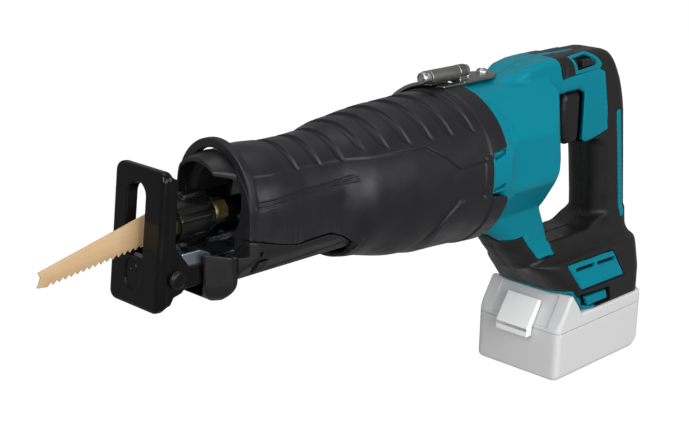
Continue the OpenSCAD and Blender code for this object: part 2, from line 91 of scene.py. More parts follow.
def poly(u, v, pts):
    pts = np.asarray(pts, float)
    d = np.full(u.shape, 1e18)
    s = np.ones(u.shape)
    for i in range(len(pts)):
        a, b = pts[i], pts[i - 1]
        e = b - a
        wx, wy = u - a[0], v - a[1]
        t = np.clip((wx * e[0] + wy * e[1]) / (e @ e), 0, 1)
        d = np.minimum(d, (wx - e[0] * t) ** 2 + (wy - e[1] * t) ** 2)
        c1, c2, c3 = v >= a[1], v < b[1], e[0] * wy > e[1] * wx
        s = np.where((c1 & c2 & c3) | (~c1 & ~c2 & ~c3), -s, s)
    return s * np.sqrt(d)


def comb(a, b, r):
    a, b = a + r, b + r
    return np.minimum(np.maximum(a, b), 0) + np.hypot(np.maximum(a, 0), np.maximum(b, 0)) - r


def ext(u, v, w, pts, w0, w1, r):
    """Polygon in (u, v), extruded along w, with its edges rounded by r."""
    return comb(poly(u, v, pts), np.abs(w - (w0 + w1) / 2) - (w1 - w0) / 2, r)


def rbox(x, y, z, lo, hi, r):
    q = [np.abs(c - (l + h) / 2) - ((h - l) / 2 - r) for c, l, h in zip((x, y, z), lo, hi)]
    out = np.sqrt(sum(np.maximum(k, 0) ** 2 for k in q))
    return out + np.minimum(np.maximum(np.maximum(q[0], q[1]), q[2]), 0) - r


def cyl(a, u, v, a0, a1, R, u0=0.0, v0=0.0, r=0.0):
    """Cylinder along a, centred on (u0, v0), with rounded rims."""
    return comb(np.hypot(u - u0, v - v0) - R, np.abs(a - (a0 + a1) / 2) - (a1 - a0) / 2, r)


def line(u, v, pts):
    """Unsigned distance to an open polyline in (u, v)."""
    d = np.full(u.shape, 1e18)
    for a, b in zip(pts[:-1], pts[1:]):
        a, b = np.array(a, float), np.array(b, float)
        e = b - a
        wx, wy = u - a[0], v - a[1]
        t = np.clip((wx * e[0] + wy * e[1]) / (e @ e), 0, 1)
        d = np.minimum(d, (wx - e[0] * t) ** 2 + (wy - e[1] * t) ** 2)
    return np.sqrt(d)


def groove(dist, depth, half):
    """Depth of a round-bottomed groove at that distance from its line."""
    return depth * (1 - sstep((dist - half * 0.35) / (half * 0.65)))


# ---------------------------------------------------------------- from field to mesh

CORNER = np.array([[0, 0, 0], [1, 0, 0], [0, 1, 0], [1, 1, 0], [0, 0, 1], [1, 0, 1], [0, 1, 1], [1, 1, 1]])
EDGES = [(0, 1), (2, 3), (4, 5), (6, 7), (0, 2), (1, 3), (4, 6), (5, 7), (0, 4), (1, 5), (2, 6), (3, 7)]


def nets(f, lo, hi, h):
    """Vertices and quads of the surface f = 0 inside the box, one vertex to a cell, moved onto the surface."""
    B = 8
    lo = np.array(lo, float)
    nb = (np.ceil((np.array(hi, float) - lo) / h).astype(int) + B) // B
    c = np.meshgrid(*[lo[i] + (np.arange(nb[i]) * B + (B - 1) / 2) * h for i in range(3)], indexing="ij")
    dc = f(*[k.ravel() for k in c]).reshape(c[0].shape)
    F = np.where(dc < 0, -9.0, 9.0).astype(np.float32)
    for ax in range(3):
        F = np.repeat(F, B, ax)
    idx = np.argwhere(np.abs(dc) < B * h * 1.25)
    off = np.stack(np.meshgrid(*[np.arange(B)] * 3, indexing="ij"), -1).reshape(-1, 3)
    for s in range(0, len(idx), 1200):
        g = (idx[s:s + 1200, None, :] * B + off[None]).reshape(-1, 3)
        p = lo + g * h
        F[g[:, 0], g[:, 1], g[:, 2]] = f(p[:, 0], p[:, 1], p[:, 2])
    S = F < 0
    a, b = slice(None, -1), slice(1, None)
    cnt = sum(S[i, j, k].astype(np.int8) for i in (a, b) for j in (a, b) for k in (a, b))
    cells = np.argwhere((cnt > 0) & (cnt < 8))
    ids = np.full(cnt.shape, -1, np.int64)
    ids[tuple(cells.T)] = np.arange(len(cells))
    val = np.stack([F[tuple((cells + o).T)] for o in CORNER], 1).astype(float)
    acc, num = np.zeros((len(cells), 3)), np.zeros(len(cells))
    for i, j in EDGES:
        m = (val[:, i] < 0) != (val[:, j] < 0)
        t = np.where(m, val[:, i] / np.where(m, val[:, i] - val[:, j], 1), 0)
        acc += m[:, None] * (CORNER[i] + (CORNER[j] - CORNER[i]) * t[:, None])
        num += m
    V = lo + (cells + acc / num[:, None]) * h
    quads = []
    for ax in range(3):
        sl0, sl1 = [slice(None)] * 3, [slice(None)] * 3
        sl0[ax], sl1[ax] = a, b
        s0, s1 = S[tuple(sl0)], S[tuple(sl1)]
        e = np.argwhere(s0 != s1)
        u, v = (ax + 1) % 3, (ax + 2) % 3
        e = e[(e[:, u] > 0) & (e[:, v] > 0) & (e[:, u] < cnt.shape[u]) & (e[:, v] < cnt.shape[v])]
        du, dv = np.eye(3, dtype=int)[u], np.eye(3, dtype=int)[v]
        q = np.stack([ids[tuple((e - x).T)] for x in (du + dv, dv, 0 * du, du)], 1)
        inside = s0[tuple(e.T)]
        q[~inside] = q[~inside][:, ::-1]
        quads.append(q)
    Q = np.concatenate(quads)
    Q = Q[(Q >= 0).all(1)]
    for _ in range(3):
        d = f(V[:, 0], V[:, 1], V[:, 2])
        g = grad(f, V, h * 0.3)
        V = V - g * np.clip(d / np.maximum((g * g).sum(1), 0.15), -0.5 * h, 0.5 * h)[:, None]
    return V, Q


def grad(f, V, e):
    g = np.zeros_like(V)
    for i in range(3):
        o = np.zeros(3)
        o[i] = e
        p, m = V + o, V - o
        g[:, i] = (f(p[:, 0], p[:, 1], p[:, 2]) - f(m[:, 0], m[:, 1], m[:, 2])) / (2 * e)
    return g


def to_row(V):
    return (np.asarray(V, float) + np.array([-OX, 0, OZ])) / 1000.0


def raw_mesh(name, V, Q):
    me = bpy.data.meshes.new(name)
    me.vertices.add(len(V))
    me.vertices.foreach_set("co", np.asarray(V, np.float32).ravel())
    k = Q.shape[1]
    me.loops.add(len(Q) * k)
    me.loops.foreach_set("vertex_index", Q.astype(np.int32).ravel())
    me.polygons.add(len(Q))
    me.polygons.foreach_set("loop_start", np.arange(0, len(Q) * k, k, dtype=np.int32))
    me.update(calc_edges=True)
    me.validate()
    return me


def link(name, me, mat, body, replaces=()):
    o = bpy.data.objects.new(name, me)
    bpy.context.scene.collection.objects.link(o)
    o.data.materials.clear()
    o.data.materials.append(mat)
    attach(o, body)
    if replaces:
        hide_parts(*replaces)
    return o


def field(name, f, lo, hi, h, mat, body, replaces=(), keep=1.0):
    """A piece from a distance field: surface, fewer faces where it is smooth, and normals from the field."""
    h = h * COARSE
    V, Q = nets(f, lo, hi, h)
    me = raw_mesh(name, V, Q)
    if keep < 1:
        o = bpy.data.objects.new(name + "_tmp", me)
        bpy.context.scene.collection.objects.link(o)
        m = o.modifiers.new("fewer", "DECIMATE")
        m.ratio = keep
        bpy.context.view_layer.update()
        less = bpy.data.meshes.new_from_object(o.evaluated_get(bpy.context.evaluated_depsgraph_get()))
        bpy.data.objects.remove(o)
        bpy.data.meshes.remove(me)
        me = less
        me.name = name
    n = len(me.vertices)
    co = np.zeros(n * 3, np.float32)
    me.vertices.foreach_get("co", co)
    V = co.reshape(-1, 3).astype(float)
    g = grad(f, V, h * 0.45)
    g /= np.maximum(np.linalg.norm(g, axis=1), 1e-6)[:, None]
    me.vertices.foreach_set("co", to_row(V).astype(np.float32).ravel())
    me.polygons.foreach_set("use_smooth", np.ones(len(me.polygons), bool))
    me.update()
    me.normals_split_custom_set_from_vertices(g.tolist())
    return link(name, me, mat, body, replaces)


def smooth_by_angle(me, deg):
    me.polygons.foreach_set("use_smooth", np.ones(len(me.polygons), bool))
    me.set_sharp_from_angle(angle=math.radians(deg))
    me.update()


def plate(name, pts, y0, y1, mat, body, replaces=(), bevel=0.4, shift=None):
    """A flat outline in (x, z), given thickness along y, with bevelled edges."""
    bm = bmesh.new()
    vs = [bm.verts.new(to_row((p[0], y0, p[1]))) for p in pts]
    face = bm.faces.new(vs)
    up = bmesh.ops.extrude_face_region(bm, geom=[face])
    bmesh.ops.translate(bm, vec=(0, (y1 - y0) / 1000, 0), verts=[v for v in up["geom"] if isinstance(v, bmesh.types.BMVert)])
    bmesh.ops.recalc_face_normals(bm, faces=bm.faces[:])
    if bevel:
        bmesh.ops.bevel(bm, geom=bm.edges[:], offset=bevel / 1000, segments=2, profile=0.6, affect="EDGES", clamp_overlap=True)
    me = bpy.data.meshes.new(name)
    bm.to_mesh(me)
    bm.free()
    smooth_by_angle(me, 35)
    return link(name, me, mat, body, replaces)


def spin_profile(profile, n=72):
    """Verts and quads of a closed ring of (a, r) points turned about the a axis."""
    P = np.array(profile, float)
    th = np.linspace(0, 2 * np.pi, n, endpoint=False)
    V = np.stack([np.repeat(P[:, 0][:, None], n, 1), P[:, 1][:, None] * np.cos(th), P[:, 1][:, None] * np.sin(th)], -1).reshape(-1, 3)
    k = len(P)
    i, j = np.meshgrid(np.arange(k), np.arange(n), indexing="ij")
    Q = np.stack([i * n + j, i * n + (j + 1) % n, ((i + 1) % k) * n + (j + 1) % n, ((i + 1) % k) * n + j], -1).reshape(-1, 4)
    return V, Q


def lathe(name, profile, mat, body, replaces=(), at=(0, 0, 0), turn="x", n=72, copies=None):
    """A turned piece. profile is a closed loop of (along, radius), turned about x, y or z through each place."""
    VV, QQ = [], []
    for place in copies or [at]:
        V, Q = spin_profile(profile, n)
        if turn == "y":
            V = V[:, [1, 0, 2]]
        elif turn == "z":
            V = V[:, [1, 2, 0]]
        QQ.append(Q + sum(len(v) for v in VV))
        VV.append(V + np.array(place, float))
    me = raw_mesh(name, to_row(np.concatenate(VV)), np.concatenate(QQ))
    bm = bmesh.new()
    bm.from_mesh(me)
    bmesh.ops.remove_doubles(bm, verts=bm.verts[:], dist=1e-6)
    bmesh.ops.dissolve_degenerate(bm, edges=bm.edges[:], dist=1e-7)
    bmesh.ops.recalc_face_normals(bm, faces=bm.faces[:])
    bm.to_mesh(me)
    bm.free()
    smooth_by_angle(me, 40)
    return link(name, me, mat, body, replaces)


# ---------------------------------------------------------------- materials

def material(name, base, rough, metal=0.0, grain=(2200.0, 0.25, 0.00012), tone=0.10, rough_var=0.10, edge_wear_and_highlight=None, spec=0.5, coat=0.0,
             brushed=None, patch=9.0, light=1.25):
    """Procedural finish: fine grain as bump, slow tone and roughness changes, optional brushed lines, and convex edges
    lightened by pointiness, which are partly worn edges and partly a painted highlight along rims.
    """
    m = bpy.data.materials.new(name)
    m.use_nodes = True
    nt = m.node_tree
    b = nt.nodes["Principled BSDF"]
    b.inputs["Metallic"].default_value = metal
    b.inputs["Specular IOR Level"].default_value = spec
    b.inputs["Coat Weight"].default_value = coat
    b.inputs["Coat Roughness"].default_value = 0.15
    tc = nt.nodes.new("ShaderNodeTexCoord")
    slow = nt.nodes.new("ShaderNodeTexNoise")
    slow.inputs["Scale"].default_value = patch
    slow.inputs["Detail"].default_value = 4
    nt.links.new(tc.outputs["Object"], slow.inputs["Vector"])
    mix = nt.nodes.new("ShaderNodeMix")
    mix.data_type = "RGBA"
    mix.inputs["A"].default_value = (*[c * (1 - tone) for c in base], 1)
    mix.inputs["B"].default_value = (*[min(1, c * (1 + tone)) for c in base], 1)
    nt.links.new(slow.outputs["Fac"], mix.inputs["Factor"])
    col = mix.outputs["Result"]
    fine = nt.nodes.new("ShaderNodeTexNoise")
    fine.inputs["Scale"].default_value = grain[0]
    fine.inputs["Detail"].default_value = 3
    if brushed:
        mp = nt.nodes.new("ShaderNodeMapping")
        mp.inputs["Scale"].default_value = brushed
        nt.links.new(tc.outputs["Object"], mp.inputs["Vector"])
        nt.links.new(mp.outputs["Vector"], fine.inputs["Vector"])
    else:
        nt.links.new(tc.outputs["Object"], fine.inputs["Vector"])
    speck = nt.nodes.new("ShaderNodeMix")
    speck.data_type = "RGBA"
    speck.blend_type = "MULTIPLY"
    speck.inputs["Factor"].default_value = 0.35
    ramp0 = nt.nodes.new("ShaderNodeMapRange")
    ramp0.inputs["To Min"].default_value = 0.72
    ramp0.inputs["To Max"].default_value = 1.18
    nt.links.new(fine.outputs["Fac"], ramp0.inputs["Value"])
    nt.links.new(col, speck.inputs["A"])
    nt.links.new(ramp0.outputs["Result"], speck.inputs["B"])
    col = speck.outputs["Result"]
    # convex edges lightened by pointiness: partly real edge wear, partly a painted highlight such as the bright line
    # along the ring's outer edge
    if edge_wear_and_highlight:
        geo = nt.nodes.new("ShaderNodeNewGeometry")
        edge_wear_highlight_mask = nt.nodes.new("ShaderNodeMapRange")
        edge_wear_highlight_mask.inputs["From Min"].default_value = 0.53
        edge_wear_highlight_mask.inputs["From Max"].default_value = 0.62
        edge_wear_highlight_mask.inputs["To Min"].default_value = 0.0
        edge_wear_highlight_mask.inputs["To Max"].default_value = edge_wear_and_highlight[1]
        nt.links.new(geo.outputs["Pointiness"], edge_wear_highlight_mask.inputs["Value"])
        worn_and_highlit_edge = nt.nodes.new("ShaderNodeMix")
        worn_and_highlit_edge.data_type = "RGBA"
        worn_and_highlit_edge.inputs["B"].default_value = (*edge_wear_and_highlight[0], 1)
        nt.links.new(edge_wear_highlight_mask.outputs["Result"], worn_and_highlit_edge.inputs["Factor"])
        nt.links.new(col, worn_and_highlit_edge.inputs["A"])
        col = worn_and_highlit_edge.outputs["Result"]
    nt.links.new(col, b.inputs["Base Color"])
    rr = nt.nodes.new("ShaderNodeMapRange")
    rr.inputs["From Min"].default_value = 0.3
    rr.inputs["From Max"].default_value = 0.7
    rr.inputs["To Min"].default_value = max(0.02, rough - rough_var)
    rr.inputs["To Max"].default_value = min(1.0, rough + rough_var)
    mid = nt.nodes.new("ShaderNodeTexNoise")
    mid.inputs["Scale"].default_value = 90.0
    mid.inputs["Detail"].default_value = 3
    nt.links.new(tc.outputs["Object"], mid.inputs["Vector"])
    nt.links.new(mid.outputs["Fac"], rr.inputs["Value"])
    nt.links.new(rr.outputs["Result"], b.inputs["Roughness"])
    bump = nt.nodes.new("ShaderNodeBump")
    bump.inputs["Strength"].default_value = grain[1]
    bump.inputs["Distance"].default_value = grain[2]
    nt.links.new(fine.outputs["Fac"], bump.inputs["Height"])
    nt.links.new(bump.outputs["Normal"], b.inputs["Normal"])
    return m


# the lighter edge colour given to each finish is partly edge wear and partly a painted edge highlight
M = {
    "boot": material("boot_rubber", (0.0105, 0.0105, 0.0125), 0.38, spec=0.30, grain=(1500.0, 0.35, 0.00022), tone=0.10, edge_wear_and_highlight=((0.07, 0.07, 0.075), 0.35)),
    "black": material("black_plastic", (0.0085, 0.0082, 0.0088), 0.40, spec=0.32, grain=(1900.0, 0.30, 0.00016), tone=0.12, edge_wear_and_highlight=((0.045, 0.045, 0.048), 0.3)),
    "cover": material("cover_plastic", (0.0088, 0.0086, 0.0094), 0.38, spec=0.32, grain=(1700.0, 0.25, 0.00014), tone=0.12, edge_wear_and_highlight=((0.05, 0.05, 0.054), 0.3)),
    "teal": material("teal_plastic", (0.0, 0.198, 0.268), 0.36, spec=0.10, grain=(2600.0, 0.14, 0.00010), tone=0.05, edge_wear_and_highlight=((0.03, 0.36, 0.45), 0.4), rough_var=0.07),
    "shoe": material("black_paint", (0.0025, 0.0025, 0.0030), 0.20, spec=0.22, grain=(900.0, 0.12, 0.00012), tone=0.15, edge_wear_and_highlight=((0.05, 0.05, 0.055), 0.5), rough_var=0.08),
    "sleeve": material("black_oxide", (0.004, 0.004, 0.0044), 0.24, spec=0.35, grain=(900.0, 0.15, 0.0001), tone=0.15, edge_wear_and_highlight=((0.12, 0.12, 0.12), 0.4)),
    "blade": material("tan_coat", (0.560, 0.380, 0.205), 0.42, metal=0.15, grain=(500.0, 0.18, 0.00008), tone=0.08, brushed=(0.15, 1.0, 1.0), edge_wear_and_highlight=((0.75, 0.62, 0.45), 0.35)),
    "zinc": material("zinc_plate", (0.31, 0.35, 0.40), 0.34, metal=1.0, grain=(700.0, 0.15, 0.00008), tone=0.10, brushed=(0.2, 1.0, 1.0), edge_wear_and_highlight=((0.8, 0.82, 0.85), 0.4)),
    "steel": material("machined_steel", (0.45, 0.45, 0.46), 0.30, metal=1.0, grain=(900.0, 0.12, 0.00006), tone=0.10, brushed=(1.0, 0.2, 1.0), edge_wear_and_highlight=((0.85, 0.85, 0.86), 0.4)),
    "hook": material("satin_grey_metal", (0.24, 0.245, 0.235), 0.40, metal=0.9, grain=(800.0, 0.15, 0.00008), tone=0.08, edge_wear_and_highlight=((0.6, 0.6, 0.58), 0.4)),
    "plate": material("bright_zinc", (0.26, 0.265, 0.255), 0.36, metal=1.0, grain=(800.0, 0.10, 0.00006), tone=0.08, edge_wear_and_highlight=((0.9, 0.9, 0.9), 0.3)),
    "shaft": material("dark_steel", (0.16, 0.16, 0.15), 0.22, metal=1.0, grain=(1200.0, 0.08, 0.00005), tone=0.10, brushed=(1.0, 0.3, 0.3)),
    "gold": material("yellow_passivate", (0.50, 0.40, 0.17), 0.26, metal=1.0, grain=(900.0, 0.12, 0.00006), tone=0.18, patch=120.0, edge_wear_and_highlight=((0.8, 0.72, 0.45), 0.4)),
    "alu": material("die_cast", (0.55, 0.56, 0.57), 0.45, metal=1.0, grain=(1500.0, 0.25, 0.0001), tone=0.08),
    "copper": material("copper_wire", (0.55, 0.24, 0.10), 0.35, metal=1.0, grain=(700.0, 0.4, 0.0002), tone=0.12, brushed=(1.0, 0.1, 0.1)),
    "seal": material("seal_rubber", (0.02, 0.02, 0.02), 0.6, grain=(1500.0, 0.3, 0.0002), tone=0.1),
    "pack": material("pack_grey", (0.660, 0.660, 0.665), 0.48, spec=0.25, grain=(1800.0, 0.16, 0.00010), tone=0.03, edge_wear_and_highlight=((0.80, 0.80, 0.81), 0.25)),
    "white": material("pack_white", (0.96, 0.96, 0.962), 0.42, spec=0.3, grain=(1800.0, 0.12, 0.00010), tone=0.02, edge_wear_and_highlight=((0.95, 0.95, 0.95), 0.2)),
    "wrap": material("cell_wrap", (0.10, 0.30, 0.20), 0.35, grain=(600.0, 0.1, 0.0001), tone=0.1),
    "board": material("board_green", (0.02, 0.15, 0.06), 0.4, grain=(900.0, 0.2, 0.0001), tone=0.15),
}

CAD_LOOK = {
    "gear_case": "alu", "bearing_plate": "alu", "slider_bush": "gold", "slider_seal": "seal", "crank_bearings": "steel", "crank_shaft": "steel",
    "crank_gear": "steel", "crank_pin": "steel", "crank_roller": "gold", "rotor_shaft": "steel", "rotor_magnets": "steel", "stator_core": "steel",
    "stator_coils": "copper", "cooling_fan": "black", "rotor_bearings": "steel", "slider_yoke": "steel", "stay_guide": "steel",
    "clamp_holder": "shaft", "trigger_switch": "black", "controller": "black", "terminal_block": "black", "pack_cells": "wrap",
    "pack_board": "board", "housing_screws": "steel",
}
for n, k in CAD_LOOK.items():
    NODES[n].data.materials.clear()
    NODES[n].data.materials.append(M[k])
    smooth_by_angle(NODES[n].data, 35)


# ---------------------------------------------------------------- front boot

FRONT = table((48, 31.6), (58, 31.6), (63, 32.4), (70, 33.7), (78, 34.2), (92, 33.2), (102, 32.5), (118, 32.7), (130, 33.4), (142, 34.5))
MAIN = table((126, 28), (134, 35.5), (140, 39.4), (148, 42.6), (160, 43.8), (184, 45.7), (212, 46.6), (242, 48.0), (264, 48.6), (292, 48.8))
BELLY = table((140, 20), (146, 25.5), (152, 29.8), (160, 34), (172, 39), (188, 42.8), (205, 44.2), (227, 45.2), (258, 47.2), (286, 49.2))
RIBS = [(92.2, 98.4), (110.2, 116.4), (127.6, 133.8), (142.8, 148.6), (158.2, 165.7), (175.4, 183.0), (194.0, 201.9), (212.2, 220.4), (231.2, 239.6)]
CAP = [(40, 80), (40, 24), (100, 22), (143, 21.5), (189, 20.8), (194, 20.4), (208.6, 11.9), (218, 4.2), (300, 8), (300, 80)]
LOW = [(300, -21), (244.7, -18.4), (220.3, -16.6), (211.7, -25.2), (205, -34), (196, -46), (190, -80), (300, -80)]
SEAM = table((40, -9.0), (57, -11.6), (80, -17.6), (93, -20.0), (115, -19.4), (124, -21.6), (134, -26.6), (143, -32.4), (160, -45))
REAR = [(263.8, 70), (263.8, 11), (250.0, 9.2), (250.4, -19.4), (264.4, -21.6), (266.4, -24.0), (266.4, -64), (330, -64), (330, 70)]


def boot_skin(x, y, z):
    # round on top, upright sides below the axis
    g = np.interp(x, FRONT[0], FRONT[2])
    front = np.maximum((np.hypot(y, np.maximum(z - 1.0, 0)) - look(FRONT, x)) / np.sqrt(1 + g * g), x - 142)
    main = np.maximum(rev(x, y, z, MAIN, ZM), 128 - x)
    d = smin(front, main, 4.0)
    belly = np.maximum(rev(x, y, z, BELLY, -13.0), 141 - x)
    return smin(d, belly, 5.0)


def ring_hole(y, z):
    return np.hypot(y * 1.06, np.where(z < 11, 0.8, 1.0) * (z - 11.0)) - 25.4


def ring(x, y, z):
    d = smax(np.hypot(y * 1.08, z - 7.6) - 34.4, -ring_hole(y, z), 1.0)
    d = comb(d, np.abs(x - 58.3) - 2.8, 1.3)
    return np.maximum(d, np.maximum(-23.0 - z, -np.maximum(np.abs(y) - 17.6, z + 10)))


def boot(x, y, z):
    d = boot_skin(x, y, z)
    # ribbed cap and the lower shoulder stand proud of the plain side
    cap = poly(x, z, CAP)
    d = d - (0.45 + 0.95 * sstep((x - 150) / 45)) * (1 - sstep((cap + 0.9) / 1.8))
    low = poly(x, z, LOW)
    d = d - 1.3 * sstep((x - 196) / 14) * (1 - sstep((low + 0.9) / 1.8))
    # rear band
    edge = np.where(z > 8, 247.6, np.where(z > -19.5, 242.6, 251.5))
    d = d - 0.8 * sstep((x - edge + 0.6) / 1.2)
    for x0, x1 in RIBS:
        top = 22.6 if x1 < 140 else 26.4
        u = np.minimum(sstep((x - x0) / 3.2), sstep((x1 + 0.3 - x) / 1.3))
        end = sstep((z - top - 0.55 * (x0 - x)) / 2.6)
        d = d + 1.55 * u * end
    # long shallow groove on each side
    side = line(x, z, [(60, 7.6), (93, 9.1), (118, 9.0), (138.5, 11.2)])
    d = d + groove(np.abs(side - 1.2), 0.55, 1.1) * (1 - sstep((np.abs(x - 99) - 38.5) / 2))
    d = np.maximum(d, 55.4 - x)
    d = np.where(x < 142.5, np.maximum(d, look(SEAM, x) + 0.3 - z), d)
    d = smax(d, -poly(x, z, REAR), 0.7)
    d = smin(d, ring(x, y, z), 1.6)
    # hollow, open at the front
    mouth = np.maximum(ring_hole(y, z), np.abs(x - 56) - 6)
    inn = np.maximum(np.hypot(y, z - 1.0) - 29.6, np.maximum(57.5 - x, x - 138))
    inn = np.minimum(inn, np.maximum(rev(x, y, z, MAIN, ZM) + 4.4, 132 - x))
    inn = np.minimum(inn, np.maximum(rev(x, y, z, BELLY, -13.0) + 4.6, 148 - x))
    return np.maximum(d, -np.minimum(inn, mouth))


field("boot", boot, (48, -54, -66), (286, 54, 48), 0.92, M["boot"], "saw_body", ["front_boot"], keep=0.42)


# ---------------------------------------------------------------- visor, lower cover and chin

def visor(x, y, z):
    R = 28.4 + 0.2 * np.clip(x - 44, 0, 12) - 5.6 * sstep((x - 58) / 3)
    r = np.hypot(y * 1.14, z - 4.5)
    d = np.maximum(r - R, R - 2.6 - r) * 0.9
    # the rim is straight over the top, sweeps back on the left and stays forward on the right
    front = 43.6 + 1.92 * np.maximum(0, -14.0 - y) + 0.6 * np.maximum(0, y - 15.0)
    d = comb(d, (front - x) * 0.6, 0.8)
    d = np.maximum(d, x - 92)
    d = smax(d, 6.0 - z + np.where(x > 86, -40.0, 0.0), 1.0)
    back = np.maximum(np.abs(x - 90) - 2.0, np.hypot(y, z - 4.5) - 25.8)
    d = np.minimum(d, back)
    return np.maximum(np.maximum(d, 19.1 - np.hypot(y, z)), -17.4 - z)


field("visor", visor, (24, -32, -22), (94, 32, 36), 0.7, M["cover"], "saw_body", ["nose_guard"], keep=0.6)

COVER_OUT = [(-33.3, -2), (-33.3, -21.5), (-32.3, -24), (-24.5, -34.0), (-17, -37.6), (17, -37.6), (24.5, -34.0), (32.3, -24), (33.3, -21.5), (33.3, -2)]
CHIN_OUT = [(32.6, -19.5), (43.2, -27.2), (45.0, -28.0), (45.8, -27.4), (46.0, -26), (51, -26), (51, 26), (46.0, 26), (45.8, 27.4), (45.0, 28.0), (43.2, 27.2), (32.6, 19.5)]
CHIN_IN = [(20, -17.4), (33.6, -17.4), (45, -24.8), (50, -24.8), (50, 24.8), (45, 24.8), (33.6, 17.4), (20, 17.4)]


def cover(x, y, z):
    d = comb(poly(y, z, COVER_OUT), np.abs(x - 99.25) - 49.75, 1.4)
    # tail that runs to a point under the belly
    d = smax(d, 0.62 * (x - 149) - 0.78 * (-36.5 - z), 1.0)
    d = np.maximum(d, z - look(SEAM, x) + 0.25)
    d = smax(d, np.abs(y) - 28.2 - 0.6 * np.maximum(0, x - 50), 1.2)
    # room for the ring
    d = np.maximum(d, -np.maximum(np.hypot(y * 1.08, z - 7.6) - 34.8, x - 61.4))
    d = np.maximum(d, np.minimum(55.2 - x, z + 20.2))
    # chin: a scoop under the blade, open to the front
    c = comb(poly(x, y, CHIN_OUT), -47.4 - z, 13.0)
    c = np.maximum(c, -comb(poly(x, y, CHIN_IN), -43.6 - z, 10.0))
    c = smax(c, z + 16.4 + 0.205 * (x - 32.6), 0.9)
    d = smin(d, c, 1.2)
    # bead along the side
    d = d + groove(np.abs(z + 31.5 - 0.04 * (x - 60)), 0.5, 0.9) * sstep((x - 70) / 3) * (1 - sstep((x - 132) / 4))
    # channel of the stay and the inside
    inn = np.maximum(poly(y, z, [(-29.4, 10), (-29.4, -22), (-20.4, -33.4), (20.4, -33.4), (29.4, -22), (29.4, 10)]), np.abs(x - 100.4) - 41.6)
    mouth = np.maximum(np.maximum(np.abs(y) - 17.4, -34.6 - z), np.abs(x - 42.3) - 18.3)
    d = np.maximum(d, -np.minimum(inn, mouth))
    # opening of the shoe-lock button and its finger recess
    hole = rbox(x, y, z, (59.7, -46, -31.6), (68.3, -18, -23.4), 0.6)
    d = smax(d, -hole, 0.6)
    # small round hole beside the ring
    d = smax(d, -cyl(y, x, z, -60, -29.5, 1.3, 62.6, -19.6), 0.4)
    for sx in (76, 126):
        for sy in (-17.6, 17.6):
            d = np.maximum(d, -cyl(z, x, y, -60, -20, 2.05, sx, sy))
            d = np.maximum(d, -cyl(z, x, y, -60, -34.8, 3.7, sx, sy))
    return d


field("lower_cover_shell", cover, (22, -37, -54), (152, 37, -6), 0.75, M["cover"], "saw_body", ["lower_cover"], keep=0.5)


lathe("cover_fixings", [(-35.6, 0), (-35.6, 1.3), (-36.1, 1.6), (-35.9, 2.7), (-35.4, 3.3), (-34.8, 3.3), (-34.8, 1.9), (-20.6, 1.9), (-20.0, 1.2), (-20.0, 0)], M["steel"],
      "saw_body", ["cover_screws"], turn="z", copies=[(76, -17.6, 0), (76, 17.6, 0), (126, -17.6, 0), (126, 17.6, 0)], n=32)


def lock_key(x, y, z):
    d = comb(poly(y, z, [(-33.4, -24.2), (-29.2, -30.9), (-22, -30.9), (-22, -24.2)]), np.abs(x - 64) - 3.7, 0.8)
    return d + groove(np.abs((x - 64) % 2.4 - 1.2), 0.3, 0.7) * sstep((-29 - y) / 1.0)


field("shoe_lock_shell", lock_key, (58, -36, -33), (70, -20, -22), 0.4, M["cover"], "shoe_lock", ["shoe_lock_button"], keep=0.6)


# ---------------------------------------------------------------- housing, grip and foot

HANDLE = [(352, 26), (352, 52.8), (415, 52.8), (421.5, 52.0), (427.5, 49.9), (433, 46.6), (438, 42.2), (442, 37.2), (445.6, 31.4), (448.6, 25), (451, 18.6), (453.2, 11.6),
          (455, 4), (460, -32), (466.5, -81), (468.5, -100), (425, -100), (425.4, -82), (423.4, -62), (419.6, -34), (416.8, -17), (412, -14.8), (397, -15.2), (393, -11.5), (393, 23), (390, 26)]
HUMP = [(282, 28), (291, 38.5), (300, 43.2), (316, 46.8), (327, 50.2), (338, 52.2), (350, 52.8), (372, 52.8), (372, 26), (348, 26), (340, 20), (300, 8)]
STRUT = [(283, -38), (345, -30), (349, -38), (347, -44), (346.4, -52), (352, -64), (363, -92), (372, -93), (372, -100), (335, -100), (309, -72.5), (283.5, -56)]
TEAL = [(200, 90), (357.5, 90), (357.5, 53.5), (361.5, 47), (364.6, 37.2), (411, 39.6), (418.4, 36.6), (425.2, 8.4), (427, -8.6), (408, -13.0), (393, -16.4), (380, -16.4), (352, -30),
        (353, -64), (363.2, -91.4), (344, -91.2), (327.8, -71.6), (309, -71.6), (282, -54.5), (200, -62)]
HALF = table((-145, 37.3), (-137, 37.3), (-121, 37.3), (-109, 34.6), (-98.6, 31.6), (-96.6, 30.2), (-94.6, 26.0), (-91.5, 21.8), (-87, 19.0), (-80, 17.6), (-60, 17.5))
XREAR = table((-145, 465), (-137, 465), (-121, 464.8), (-110, 466), (-100, 467), (-92, 468), (-80, 467.2), (-60, 466))
INNER_BLOCK = [(350, 29.5), (408.5, 29.5), (408.5, -8.5), (432, -8.5), (422, 40), (364, 40), (350, 33)]
INNER_HANDLE = [(364, 40.5), (364, 48.5), (416, 48.5), (428.4, 45.2), (438.4, 37.8), (445.8, 26.4), (451, 8), (456.4, -32), (463, -82), (464, -99),
                (428, -99), (427.6, -82), (424.6, -60), (420.6, -20), (418, -15), (426, -8.5), (416, 40.5)]
STRUT_IN = [(290, -40), (341, -36), (343, -41), (342, -53), (348, -66), (357, -88), (345, -88), (329, -67.5), (309.5, -67.5), (290, -53)]
FOOT_IN = [(316, -76), (325, -76), (341.5, -94.5), (364, -94.5), (372, -88), (430, -88), (430, -112), (354, -112)]
VENT = [(364.0, -97.3), (424.6, -98.8), (434.8, -120.3), (378.6, -119.7)]
MODE = [(377.4, -122.8), (414.6, -124.6), (417.4, -135.8), (387.2, -135.4)]
UNDER = [(300, -121), (369.8, -121), (377.2, -130), (381.8, -137.2), (520, -137.2), (520, -200), (300, -200)]


